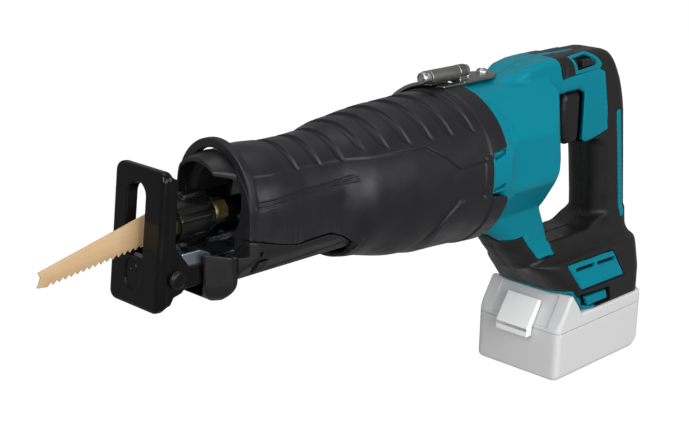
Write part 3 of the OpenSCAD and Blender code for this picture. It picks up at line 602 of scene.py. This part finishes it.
def barrel(x, y, z):
    rho = np.hypot(y, z - ZM)
    d = comb(rho - 48.1 - 0.75 * (1 - sstep((x - 270.8) / 1.5)), np.abs(x - 306.6) - 42.4, 4.0)
    ay, h = np.abs(y), z - ZM
    # flat sides, a sloping facet above and below them, and the upright rear corners
    flat = ay - 45.2 - 4.0 * (1 - sstep((x - 267) / 12))
    upper = ay * 0.684 + h * 0.729 - 45.0 - 4.0 * (1 - sstep((x - 279 + 0.5 * (z - 14)) / 4))
    lower = ay * 0.72 - h * 0.694 - 45.2 - 4.0 * (1 - sstep((x - 274) / 8))
    d = smax(d, 0.567 * x + 0.824 * ay + 0.09 * z - 222.2, 2.0)
    d = smax(d, (0.567 * x + 0.824 * ay - 0.36 * (z + 22) - 222.4) / 1.063, 2.0)
    return smax(smax(d, flat, 0.7), np.maximum(upper, lower), 0.7)


def body_all(x, y, z):
    """Whole outer form of housing, handle and foot, before it is parted by colour."""
    ay = np.abs(y)
    d = barrel(x, y, z)
    hump = comb(poly(x, z, HUMP), (ay - 17.5 + 0.3 * np.maximum(0, 325 - x)) * 0.96, 5.0)
    d = smin(d, hump, 3.0)
    strut = comb(poly(x, z, STRUT), ay - 17.8, 12.0 - 9.0 * sstep((x - 307 - 0.62 * (-45 - z)) / 14))
    d = smin(d, strut, 5.0)
    edge = 4.5 + 4.0 * sstep((z - 26) / 12) + 8.0 * sstep((-13 - z) / 8)
    edge = edge + (12.5 - edge) * sstep((x - 424) / 16)
    handle = comb(poly(x, z, HANDLE), ay - 17.2, edge)
    d = smin(d, handle, 2.0)
    # foot: plan outline that widens towards the pack
    hw = look(HALF, z)
    xr = look(XREAR, z)
    xf = 309.0 + (-71.5 - z) * 1.06
    cx, hx = (xr + xf) / 2, (xr - xf) / 2
    rad = np.where(x < cx, np.minimum(22.0, hw - 1.5), np.minimum(18.0, hw - 1.5))
    q1, q2 = np.abs(x - cx) - hx + rad, ay - hw + rad
    plan = np.hypot(np.maximum(q1, 0), np.maximum(q2, 0)) + np.minimum(np.maximum(q1, q2), 0) - rad
    foot = smax(plan * 0.86, z + 83.0 - 6.5 * sstep((x - 408) / 20), 2.5)
    d = smin(d, foot, 5.0)
    return d


def cavities(x, y, z):
    c = np.maximum(np.hypot(y, z - ZM) - 44.4, np.maximum(240 - x, x - 346.3))
    c = np.minimum(c, ext(x, z, y, [(300, 20), (303, 34), (317, 42), (328, 46), (339, 48.5), (365, 48.5), (365, 29.5), (347, 29.5), (341, 22)], -13.5, 13.5, 0.3))
    c = np.minimum(c, ext(x, z, y, STRUT_IN, -14, 14, 0.3))
    c = np.minimum(c, ext(x, z, y, INNER_BLOCK, -13.6, 13.6, 0.3))
    c = np.minimum(c, ext(x, z, y, INNER_HANDLE, -13.6, 13.6, 0.3))
    c = np.minimum(c, ext(x, z, y, FOOT_IN, -14, 14, 0.3))
    t = np.clip((-98 - z) / 19.6, 0, 1)
    c = np.minimum(c, np.maximum(np.maximum(np.abs(y) - (28 + 4.5 * t), np.abs(z + 107.5) - 9.8),
                                 np.maximum(378 - 14 * t - x, x - 448 - 20 * t)))
    return c


def trigger_way(x, y, z):
    return np.minimum(rbox(x, y, z, (362, -9.1, -16), (417, 9.1, 26.0), 1.0), rbox(x, y, z, (362, -15.9, -18), (402, 15.9, 26.0), 4.0))


def teal_half(side):
    def f(x, y, z):
        skin = body_all(x, y, z)
        d = np.maximum(skin, poly(x, z, TEAL) + 0.2)
        # meeting line with the boot, and the tab that reaches into it
        tab = np.maximum(np.maximum(np.abs(np.hypot(y, z - ZM) - 46.6) - 2.1, np.maximum(250.6 - x, x - 268)), np.maximum(z - 8.7, -18.8 - z))
        d = np.maximum(d, 264.2 - x)
        d = np.maximum(d, -poly(x, z, [(240, -19.4), (264.8, -22.0), (266.9, -24.2), (266.9, -64), (266.9, -90), (240, -90)]))
        d = np.minimum(d, tab)
        for a, b in (((253.6, 5.2), (263.4, 7.2)), ((254.4, -16.0), (263.6, -14.8))):
            s = line(x, z, [a, b]) - 1.3
            d = smax(d, -np.maximum(s, 44.5 - np.abs(y)), 0.4)
        # way of the trigger, and the inside
        d = smax(d, -trigger_way(x, y, z), 0.6)
        d = np.maximum(d, -np.maximum(cavities(x, y, z), np.where(x < 268, -99.0, skin + 2.6)))
        if side > 0:
            for s in ((356, 43, 17.5), (336, -58, 17.8)):
                d = np.maximum(d, -cyl(y, x, z, s[2] - 4.1, 60, 4.0, s[0], s[1]))
        return np.maximum(d, 0.04 - y * side)
    return f


def black_half(side):
    def f(x, y, z):
        skin = body_all(x, y, z)
        d = np.maximum(skin, 0.2 - poly(x, z, TEAL))
        # under side
        d = np.maximum(d, -poly(x, z, UNDER))
        # teal rim strip is let into the lower edge
        d = np.maximum(d, -(rim_zone(x, y, z) - 0.15))
        chan = np.maximum(np.maximum(np.abs(y) - 27.4, np.abs(z + 131) - 10.0), np.maximum(340 - x, x - 456.4))
        rail = np.maximum(np.maximum(22.4 - np.abs(y), np.abs(z + 130.5) - 2.1), 384 - x)
        d = np.maximum(d, -np.maximum(chan, -rail))
        d = np.maximum(d, -rbox(x, y, z, (398, -17.3, -122), (442.3, 17.3, -116), 0.1))
        d = np.maximum(d, -ext(x, z, y, VENT, side * 40 - 9.0, side * 40 + 9.0, 0.4))
        if side < 0:
            d = smax(d, -ext(x, z, y, MODE, -50, -33.0, 0.6), 0.5)
            d = np.maximum(d, -ext(x, z, y, [(383.4, -125.5), (411.6, -126.5), (414.4, -134.2), (388.2, -134.2)], -50, -31.9, 0.3))
        else:
            for s in ((436, 31, 17.2), (452, -74, 17.2), (332, -84, 17.8), (447.5, -14.5, 17.2)):
                d = np.maximum(d, -cyl(y, x, z, s[2] - 4.1, 60, 4.0, s[0], s[1]))
        # recess of the lock-off button, with its way through the handle
        d = smax(d, -np.maximum(lock_zone(x, y, z, LOCK_OUT), -1.8 - skin), 0.3)
        d = np.maximum(d, -rbox(x, y, z, (385.6, -30, 43.2), (402.4, 30, 49.0), 0.2))
        # seats of the teal inlays
        d = np.maximum(d, -(inlay_zone(x, y, z) - 0.12))
        d = np.maximum(d, -(stripe_zone(x, y, z) - 0.12))
        d = np.maximum(d, -np.maximum(cavities(x, y, z), skin + 2.6))
        return np.maximum(d, 0.04 - y * side)
    return f


LOCK_OUT = [(374.2, 39.1), (397.0, 42.3), (412.9, 25.3), (410.8, 21.9), (380.7, 21.6)]
LOCK_IN = [(377.3, 35.6), (395.8, 38.4), (406.0, 28.0), (403.5, 25.6), (382.8, 23.9)]


def lock_zone(x, y, z, outline):
    """Outline laid round the shoulder of the handle's top bar."""
    return np.maximum(poly(x, z - np.abs(y), outline) * 0.75, np.maximum(33 - z, 8.6 - np.abs(y)))


def rim_zone(x, y, z):
    """Thin strip along the front and side of the foot's lower edge."""
    edge = line(x, z, [(330, -121), (369.8, -121), (377.2, -130), (381.8, -137.2), (398, -137.2)])
    w = 2.3 + 1.6 * sstep((-122 - z) / 6) * (1 - sstep((x - 384) / 8))
    return np.maximum(np.maximum(edge - w, x - 396), -(np.minimum(0.0, body_all(x, y, z)) + 3.2))


def inlay_zone(x, y, z):
    """Long teal inlay down each rear side of the handle."""
    a = line(x, z, [(440.6, 2), (445.4, -28), (450.4, -59), (453.2, -79)]) - 2.6
    return np.maximum(np.maximum(a, 12.0 - np.abs(y)), np.abs(y) - 30)


def stripe_zone(x, y, z):
    """Teal tongue on top of the handle."""
    w = 3.0 - 0.04 * (x - 357)
    return np.maximum(np.maximum(np.abs(y) - w, 50.2 - z), np.maximum(350 - x, x - 398))


H = 0.92
for side, s in ((-1, "left"), (1, "right")):
    lo, hi = (-51, 0.6) if side < 0 else (-0.6, 51)
    field("housing_shell_" + s, teal_half(side), (246, lo, -96), (434, hi, 58), H, M["teal"], "saw_body", ["housing_" + s], keep=0.42)
    field("grip_shell_" + s, black_half(side), (302, lo, -140), (482, hi, 58), H, M["black"], "saw_body", ["grip_" + s], keep=0.42)

    def rim(x, y, z, side=side):
        d = np.maximum(body_all(x, y, z) - 0.25, rim_zone(x, y, z))
        d = np.maximum(d, -poly(x, z, UNDER))
        d = np.maximum(d, -np.maximum(np.maximum(np.abs(y) - 27.4, z + 121), 340 - x))
        return np.maximum(d, 0.04 - y * side)

    field("rim_strip_" + s, rim, (340, lo * 0.8, -140), (402, hi * 0.8, -115), 0.6, M["teal"], "saw_body", (), keep=0.6)

    def inlay(x, y, z, side=side):
        d = np.maximum(body_all(x, y, z) - 0.15, inlay_zone(x, y, z))
        d = np.maximum(d, -(body_all(x, y, z) + 2.2))
        return np.maximum(d, 0.04 - y * side)

    field("handle_inlay_" + s, inlay, (434, lo * 0.5, -84), (462, hi * 0.5, 8), 0.6, M["teal"], "saw_body", (), keep=0.6)

    def stripe(x, y, z, side=side):
        d = np.maximum(body_all(x, y, z) - 0.15, stripe_zone(x, y, z))
        d = np.maximum(d, 358.0 - x)
        return np.maximum(d, 0.04 - y * side)

    field("top_stripe_" + s, stripe, (354, lo * 0.3, 48), (400, hi * 0.3, 55), 0.5, M["teal"], "saw_body", (), keep=0.6)

    def frame_ring(x, y, z, side=side):
        skin = body_all(x, y, z)
        d = comb(skin - 0.5, lock_zone(x, y, z, LOCK_OUT) + 0.12, 0.5)
        d = smax(d, -lock_zone(x, y, z, LOCK_IN), 0.5)
        return np.maximum(np.maximum(d, -1.7 - skin), 9.0 - y * side)

    field("lock_frame_" + s, frame_ring, (366, lo * 0.5, 34), (418, hi * 0.5, 54), 0.5, M["teal"], "saw_body", (), keep=0.6)

    def vent(x, y, z, side=side):
        d = np.maximum(body_all(x, y, z) - 0.45, poly(x, z, VENT) + 0.35)
        d = smax(d, poly(x, z, VENT) + 1.4 + (body_all(x, y, z)) * 1.2, 0.4)
        d = np.maximum(d, 31.4 - y * side)
        for a, b in (((375.6, -103.6), (396.6, -104.1)), ((402.4, -104.3), (423.0, -104.9))):
            d = smax(d, -(line(x, z, [a, b]) - 1.35), 0.4)
        return d

    field("vent_louvre_" + s, vent, (356, (lo if side < 0 else 30), -124), (438, (-30 if side < 0 else hi), -94), 0.5, M["teal"], "saw_body",
          ["vent_panel_" + s], keep=0.6)


# ---------------------------------------------------------------- controls

def trigger(x, y, z):
    d = ext(x, z, y, [(374, 25.2), (390, 25.2), (393.6, 22), (393.6, -10), (390.6, -13.4), (380, -13.4), (375, -9), (372.4, 2), (371.2, 13), (371.6, 21)], -15.3, 15.3, 5.0)
    d = d + groove(np.abs(np.abs(y) - 8.6), 0.35, 0.8) * (1 - sstep((x - 378) / 4))
    d = np.minimum(d, ext(x, z, y, [(386, 24.6), (402, 24.6), (405.2, 22), (405.2, -10), (402, -13), (386, -13)], -8.5, 8.5, 1.0))
    return np.minimum(d, rbox(x, y, z, (400, -5, 2), (409.4, 5, 12), 0.8))


field("trigger_shell", trigger, (366, -18, -17), (412, 18, 28), 0.55, M["black"], "trigger_body", ["trigger"], keep=0.6)


def lock_off(x, y, z):
    d = ext(x, z, y, [(386, 43.6), (402, 43.6), (402, 45.2), (397, 48.6), (386, 48.6)], -19.4, 15.4, 1.0)
    return d + groove(np.abs(np.abs(x - 394) - 2.4), 0.5, 0.9) * sstep((np.abs(y + 2) - 15.5) / 1.5)


field("lock_off_shell", lock_off, (383, -22, 38), (405, 18, 50), 0.5, M["black"], "lock_off", ["lock_off_button"], keep=0.6)


def mode_key(x, y, z):
    return ext(x, z, y, [(384, -126), (411, -127), (413.6, -133.6), (388.6, -133.6)], -36.8, -33.4, 0.8)


field("mode_key_shell", mode_key, (381, -39, -137), (417, -31, -123), 0.4, M["teal"], "mode_key", ["mode_button"], keep=0.6)


# ---------------------------------------------------------------- shoe, stay and blade

LEAN = math.radians(5.9)


def shoe_local(x, z):
    u, w = x - 11.0, z + 25.0
    return u * math.cos(LEAN) - w * math.sin(LEAN), u * math.sin(LEAN) + w * math.cos(LEAN)


def shoe(x, y, z):
    a, c = shoe_local(x, z)
    W = 21.4
    q1, q2 = np.abs(y) - W + 5.5, np.abs(c - 20.0) - 39.2 + 5.5
    out = np.hypot(np.maximum(q1, 0), np.maximum(q2, 0)) + np.minimum(np.maximum(q1, q2), 0) - 5.5
    d = comb(out, np.abs(a + 9.0) - 3.75, 2.8)
    # ears and side flanges behind the plate
    ear = [(-8.5, 57), (-2.6, 55), (-1.8, 20), (-0.6, 16.6), (2.8, 13), (8.2, 7), (9.4, 0), (8.2, -5.2), (4.6, -8.8), (-0.6, -10.6), (-2.6, -14.6), (-8.5, -16.8)]
    e = comb(poly(a, c, ear), np.abs(np.abs(y) - 19.3) - 2.0, 1.2)
    d = smin(d, e, 1.2)
    # blade slot
    s = np.maximum(np.hypot(y - 1.5, np.maximum(0, c - 43)) - 7.5, 9.4 - c)
    d = smax(d, -s, 1.4)
    # oval recess with a fastener low on the plate
    o = np.hypot(y - 1.5, np.maximum(0, np.abs(c + 0.6) - 3.2)) - 6.0
    d = smax(d, -np.maximum(o, a + 11.8), 0.7)
    boss = cyl(a, y, c, -12.3, -8.0, 3.2, 1.5, 2.6, 0.6)
    boss = np.maximum(boss, -np.maximum(np.hypot(y - 1.5, c - 2.6) - 1.7, a + 11.6))
    d = np.minimum(d, boss)
    return np.maximum(d, 2.56 - np.hypot(x - 11, z + 25) + np.where(np.abs(y) > 16, 0.0, -9.0))


field("shoe_plate_shell", shoe, (-6, -23, -46), (24, 23, 38), 0.6, M["shoe"], "shoe_plate", ["shoe"], keep=0.55)

lathe("shoe_rivet", [(-24.4, 0), (-24.4, 3.4), (-23.9, 4.7), (-22.9, 5.3), (-21.75, 5.3), (-21.75, 2.48), (21.75, 2.48), (21.75, 5.3), (22.9, 5.3),
                     (23.9, 4.7), (24.4, 3.4), (24.4, 0)], M["shoe"], "stay", ["shoe_pin"], at=(11, 0, -25), turn="y")


def stay(x, y, z):
    cheek = ext(x, z, np.abs(y), [(19.8, -14.3), (33, -14.4), (39.6, -17.6), (41.0, -19.5), (41.0, -31), (24.2, -31), (20.0, -22)], 11.4, 15.3, 0.6)
    top = ext(x, z, y, [(20.0, -14.3), (33, -14.4), (39.4, -17.4), (38.6, -19.8), (32.6, -17.0), (20.2, -17.0)], -15.0, 15.0, 0.5)
    top = np.maximum(top, -np.maximum(np.abs(y) - 4.2, 15 - x))
    top = np.maximum(top, -np.maximum(np.abs(y) - 11.6, x - 28))
    bar = rbox(x, y, z, (24.2, -12.0, -31), (41, 12.0, -24), 0.6)
    tongue = rbox(x, y, z, (38, -11, -31), (128, 11, -22), 0.6)
    return np.minimum(np.minimum(cheek, top), np.minimum(bar, tongue))


field("stay_plate", stay, (16, -17, -33), (130, 17, -5), 0.55, M["zinc"], "stay", ["shoe_stay"], keep=0.5)


def bracket(x, y, z):
    lug = np.minimum(cyl(np.abs(y), x, z, 12, 16.9, 4.4, 11, -25, 0.5),
                     ext(x, z, np.abs(y), [(11, -29.2), (24.0, -34), (24.0, -31), (20, -22.4), (19.8, -20.8), (11, -20.8)], 12, 16.9, 0.6))
    side = ext(x, z, np.abs(y), [(14, -29), (19.6, -21), (27, -22.2), (40.5, -21.6), (40.5, -33.8), (24, -33.8)], 15.5, 16.9, 0.5)
    floor = rbox(x, y, z, (13.6, -16.9, -34), (56, 16.9, -31.1), 0.6)
    # black tab in front of the stay's far cheek, and the lip inside it: a dark sheet that stands in for painted shade,
    # hiding the lit cheek seen through the blade slot
    tab = rbox(x, y, z, (17.8, 10.2, -33), (19.5, 16.9, -13.8), 0.4)
    lip = rbox(x, y, z, (17.8, 10.2, -33), (23.9, 11.3, -14.2), 0.4)
    d = np.minimum(np.minimum(np.minimum(lug, side), floor), np.minimum(tab, lip))
    return np.maximum(d, 2.5 - np.hypot(x - 11, z + 25))


field("bracket_shell", bracket, (5, -18, -36), (58, 18, -12), 0.55, M["shoe"], "stay", ["stay_bracket"], keep=0.5)


def blade_outline():
    a, b = np.array([-57.0, -18.1]), np.array([15.0, -9.0])
    n = 19
    pts = []
    for i in range(n):
        p = a + (b - a) * i / n
        pts.append(tuple(p))
        q = a + (b - a) * (i + 0.62) / n
        pts.append((q[0] + 0.2, q[1] + 1.9))
        r = a + (b - a) * (i + 0.78) / n
        pts.append((r[0] + 0.1, r[1] + 1.5))
    return pts + [(15, -8.6), (30, -6), (45, -5), (45, 5), (30, 6.5), (22, 8.4), (8, 8), (-4, 5), (-62, -9.3), (-60.6, -12.4), (-63, -17.4)]


plate("saw_blade", blade_outline(), -0.6, 0.6, M["blade"], "saw_blade", ["blade"], bevel=0.12)


def sleeve(x, y, z):
    rho = np.hypot(y, z)
    R = 13.0 - 3.1 * np.clip((x - 43.4) / 6.3, 0, 1)
    d = comb((rho - R) * 0.92, np.abs(x - 35.85) - 13.85, 0.9)
    # one groove with a raised ridge beside it on each side, and a thumb lug on top
    ay = np.where(y < 0, z, -z)
    d = d + groove(np.abs(ay - 6.4), 1.0, 1.5) * sstep((np.abs(y) - 7) / 2)
    d = d - 0.7 * (1 - sstep((np.abs(ay - 3.2) - 0.6) / 0.9)) * sstep((np.abs(y) - 7) / 2) * (1 - sstep((x - 42) / 2))
    ear = ext(x, z, y, [(29, 8), (47, 8), (47, 14.2), (43, 15.2), (31, 14.4)], -4.0, 4.0, 1.2)
    d = smin(d, ear, 1.0)
    bore = np.minimum(np.maximum(rho - 9.5, x - 46), rho - 6.4)
    return np.maximum(d, -bore)


field("sleeve_shell", sleeve, (20, -16, -16), (52, 16, 16), 0.45, M["sleeve"], "sleeve", ["clamp_sleeve"], keep=0.6)

lathe("collar_cone", [(50, 6.0), (50, 8.0), (50.5, 8.7), (52.0, 9.0), (53.0, 9.0), (53.6, 8.6), (54.4, 8.0), (60.6, 7.0), (61.0, 6.7), (61, 6.0)], M["gold"],
      "slider", ["clamp_collar"])
lathe("slider_rod", [(50, 0), (50, 5.6), (50.6, 6.0), (176.9, 6.0), (176.9, 0)], M["shaft"], "slider",
      ["slider_shaft"])


# ---------------------------------------------------------------- hook

HY, HZ = 1.0, 52.3


def hook_arm(x, y, z):
    bar = cyl(x, y, z, 240, 267.6, 4.6, HY, HZ, 0.6)
    rho = np.hypot(y, z - ZM)
    th = np.degrees(np.arctan2(z - ZM, y))
    arc = np.maximum(np.abs(rho - 52.3) - 1.3, np.abs(x - 253) - 9.0)
    arc = comb(arc, np.maximum((th - 88) * 0.9, (-8 - th) * 0.9), 0.6)
    d = smin(bar, arc, 1.2)
    return np.maximum(d, 2.55 - np.hypot(y - HY, z - HZ))


field("hook_strap", hook_arm, (237, -8, -22), (270, 57, 62), 0.7, M["hook"], "hook", ["hook_arm"], keep=0.5)


def hook_base(x, y, z):
    d = rbox(x, y, z, (268, -7, 45), (308, 13, 47.2), 0.7)
    d = smax(d, 0.55 * (x - 300) + 0.83 * np.abs(y - 3) - 8.0, 1.0)
    d = np.minimum(d, rbox(x, y, z, (247, -7, 45), (270, -0.75, 46.5), 0.5))
    k = np.minimum(cyl(x, y, z, 268, 275.6, 4.7, HY, HZ, 0.6), rbox(x, y, z, (268, -3, 45.5), (275.6, 5, 50), 0.6))
    d = smin(d, k, 1.2)
    d = np.maximum(d, 2.5 - np.hypot(y - HY, z - HZ))
    for sx in (284, 302):
        d = np.maximum(d, 2.2 - np.hypot(x - sx, y - 6))
    return d


field("hook_base_plate", hook_base, (245, -9, 43), (310, 15, 59), 0.5, M["plate"], "saw_body", ["hook_bracket"], keep=0.5)


lathe("hook_pin", [(232.8, 0), (232.8, 1.8), (233.5, 2.0), (233.5, 2.9), (232.9, 3.2), (233.1, 3.7), (233.8, 4.1), (236.8, 4.1), (236.8, 4.6), (238.6, 4.6),
                   (238.6, 2.48), (276, 2.48), (276, 3.6), (276.3, 4.0), (278.2, 4.0), (278.6, 3.5), (278.6, 0)], M["steel"], "saw_body", ["hook_bolt"],
      at=(0, HY, HZ))
lathe("hook_fixings", [(34, 0), (34.6, 2.0), (47.2, 2.0), (47.2, 4.0), (48.2, 4.0), (49.2, 3.4), (49.8, 2.2), (49.8, 1.4), (48.6, 1.2), (48.6, 0)], M["steel"], "saw_body",
      ["hook_screws"], turn="z", copies=[(284, 6, 0), (302, 6, 0)], n=40)


# ---------------------------------------------------------------- battery pack

PACK_SIDE = [(351, -185), (453, -185), (462, -177), (462.4, -137.9), (381.4, -137.9), (376.6, -130.6), (369.2, -121.8), (366.2, -121.8), (351.2, -146)]


def pack_all(x, y, z):
    d = poly(x, z, PACK_SIDE)
    q1, q2 = np.abs(x - 406.7) - 55.9 + 6.0, np.abs(y) - 37.3 + 6.0
    plan = np.hypot(np.maximum(q1, 0), np.maximum(q2, 0)) + np.minimum(np.maximum(q1, q2), 0) - 6.0
    d = comb(d, plan, 2.4)
    # bevelled lower edge
    d = smax(d, (plan + (-z - 185) + 2.2) * 0.7071, 1.5)
    rails = ext(x, z, y, [(355, -146), (366, -121.8), (456, -121.8), (456, -141), (356, -147)], -27, 27, 0.6)
    return np.minimum(d, rails)


def slope(x, z):
    """Distance in front of the pack's sloping nose."""
    n = np.array([-0.852, 0.524])
    return (x - 351.2) * n[0] + (z + 146) * n[1]


def pack_top(x, y, z):
    d = pack_all(x, y, z)
    d = np.maximum(d, -147.97 - z)
    # raised cheeks on both sides of the button
    s = slope(x, z)
    d = smax(d, -np.maximum(np.maximum(-s - 1.3, np.abs(y) - 26.0), np.maximum(z + 123.5, -145.0 - z)), 0.9)
    d = np.maximum(d, -np.maximum(np.maximum(22 - np.abs(y), np.abs(y) - 30), np.maximum(np.abs(z + 130.5) - 2.5, 370 - x)))
    d = np.maximum(d, -ext(x, z, y, [(358, -152), (359.4, -144), (371.5, -125), (452, -125), (452, -152)], -24, 24, 0.3))
    d = np.maximum(d, -rbox(x, y, z, (359, -34.3, -152), (457, 34.3, -141), 0.3))
    d = np.maximum(d, -ext(x, z, y, [(340, -158), (340, -147), (355.8, -123), (363.2, -126.2), (353.4, -144.2), (351.4, -147.2), (351.4, -158)], -15.2, 15.2, 0.4))
    for yy in (-12, 0, 12):
        d = np.maximum(d, -rbox(x, y, z, (402, yy - 1.2, -126), (470, yy + 1.2, -121), 0.1))
    return d


def pack_tray(x, y, z):
    d = pack_all(x, y, z)
    d = np.maximum(d, z + 148.03)
    d = d + groove(np.abs(z + 148.03), 0.12, 0.7)
    inner = rbox(x, y, z, (354, -34.3, -182), (459, 34.3, -100), 1.0)
    for sx in (356.5, 456.5):
        for sy in (-32.5, 32.5):
            inner = np.maximum(inner, 2.9 - np.hypot(x - sx, y - sy))
    d = np.maximum(d, -inner)
    for sx in (356.5, 456.5):
        for sy in (-32.5, 32.5):
            d = np.maximum(d, 1.3 - np.hypot(x - sx, y - sy) + np.where(z > -165, -9.0, 0.0))
            d = np.maximum(d, -cyl(z, x, y, -200, -183.4 if sx < 400 else -179.2, 2.8, sx, sy))
    return d


field("pack_tray_shell", pack_tray, (347, -39, -187), (466, 39, -146), 0.95, M["pack"], "battery", ["pack_lower"], keep=0.42)
field("pack_top_shell", pack_top, (347, -39, -150), (466, 39, -119), 0.8, M["pack"], "battery", ["pack_upper"], keep=0.45)

lathe("pack_fixings", [(-183.9, 0), (-183.9, 1.0), (-184.5, 1.2), (-184.4, 2.0), (-183.9, 2.5), (-183.45, 2.5), (-183.45, 1.2), (-166, 1.2), (-165.4, 0.8), (-165.4, 0)], M["steel"],
      "battery", ["pack_screws"], turn="z", copies=[(356.5, -32.5, 0), (356.5, 32.5, 0), (456.5, -32.5, 4.2), (456.5, 32.5, 4.2)], n=24)


def pack_button(x, y, z):
    d = ext(x, z, y, [(343.9, -147.2), (357.2, -126.9), (361.0, -128.8), (352.4, -144), (350.4, -147), (350.4, -153.8), (344.2, -153.8)], -14.8, 14.8, 1.2)
    return d


field("pack_button_shell", pack_button, (344, -17, -156), (367, 17, -120), 0.5, M["white"], "pack_release", ["pack_button"], keep=0.55)


# ---------------------------------------------------------------- stage, camera and light

scene = bpy.context.scene
bm = bmesh.new()
bmesh.ops.create_grid(bm, x_segments=1, y_segments=1, size=14.0)
me = bpy.data.meshes.new("floor")
bm.to_mesh(me)
bm.free()
floor = bpy.data.objects.new("floor", me)
floor.location = (0, 0, -0.0002)
scene.collection.objects.link(floor)
fm = bpy.data.materials.new("pale_floor")
fm.use_nodes = True
fb = fm.node_tree.nodes["Principled BSDF"]
fb.inputs["Base Color"].default_value = (0.08, 0.08, 0.08, 1)
fb.inputs["Roughness"].default_value = 0.9
fb.inputs["Specular IOR Level"].default_value = 0.1
fb.inputs["Emission Color"].default_value = (1, 1, 1, 1)
fb.inputs["Emission Strength"].default_value = 0.97
me.materials.append(fm)
floor.visible_diffuse = False
floor.visible_glossy = False

world = bpy.data.worlds.new("studio")
scene.world = world
world.use_nodes = True
world.node_tree.nodes["Background"].inputs["Color"].default_value = (1, 1, 1, 1)
world.node_tree.nodes["Background"].inputs["Strength"].default_value = 0.30


def area(name, at, to, size, power, color=(1, 1, 1)):
    l = bpy.data.lights.new(name, "AREA")
    l.shape = "RECTANGLE"
    l.size, l.size_y = size
    l.energy = power
    l.color = color
    o = bpy.data.objects.new(name, l)
    scene.collection.objects.link(o)
    o.location = at
    o.rotation_mode = "QUATERNION"
    o.rotation_quaternion = (Vector(to) - Vector(at)).to_track_quat("-Z", "Y")
    return o


area("key_front", (-1.25, -0.35, 0.75), (-0.15, 0, 0.18), (0.5, 0.9), 9.0)
area("side_soft", (-0.1, -1.5, 0.75), (-0.1, 0, 0.15), (1.6, 0.7), 12.5)
area("top_soft", (-0.1, 0.1, 1.4), (-0.1, 0, 0.2), (1.2, 0.8), 3.6)
area("low_fill", (-0.55, -1.3, 0.32), (0.02, 0, 0.12), (1.4, 0.5), 7.0)
rim_light = area("rim_back", (0.7, 0.9, 0.8), (0.0, 0, 0.2), (0.6, 0.8), 5)
rim_light.visible_glossy = False

scene.view_settings.view_transform = "Standard"
scene.view_settings.look = "None"

cam_data = bpy.data.cameras.new("camera")
cam_data.sensor_fit = "HORIZONTAL"
cam_data.sensor_width = 36.0
cam_data.lens = 72.070
cam_data.clip_start, cam_data.clip_end = 0.01, 60.0
cam = bpy.data.objects.new("camera", cam_data)
scene.collection.objects.link(cam)
right, up, fwd = Vector((0.69609, -0.71771, 0.01862)), Vector((0.19858, 0.21739, 0.95567)), Vector((0.68995, 0.66153, -0.29385))
cam.matrix_world = Matrix(((right.x, up.x, -fwd.x, -0.83959), (right.y, up.y, -fwd.y, -0.57118), (right.z, up.z, -fwd.z, 0.41286), (0, 0, 0, 1)))
scene.camera = cam
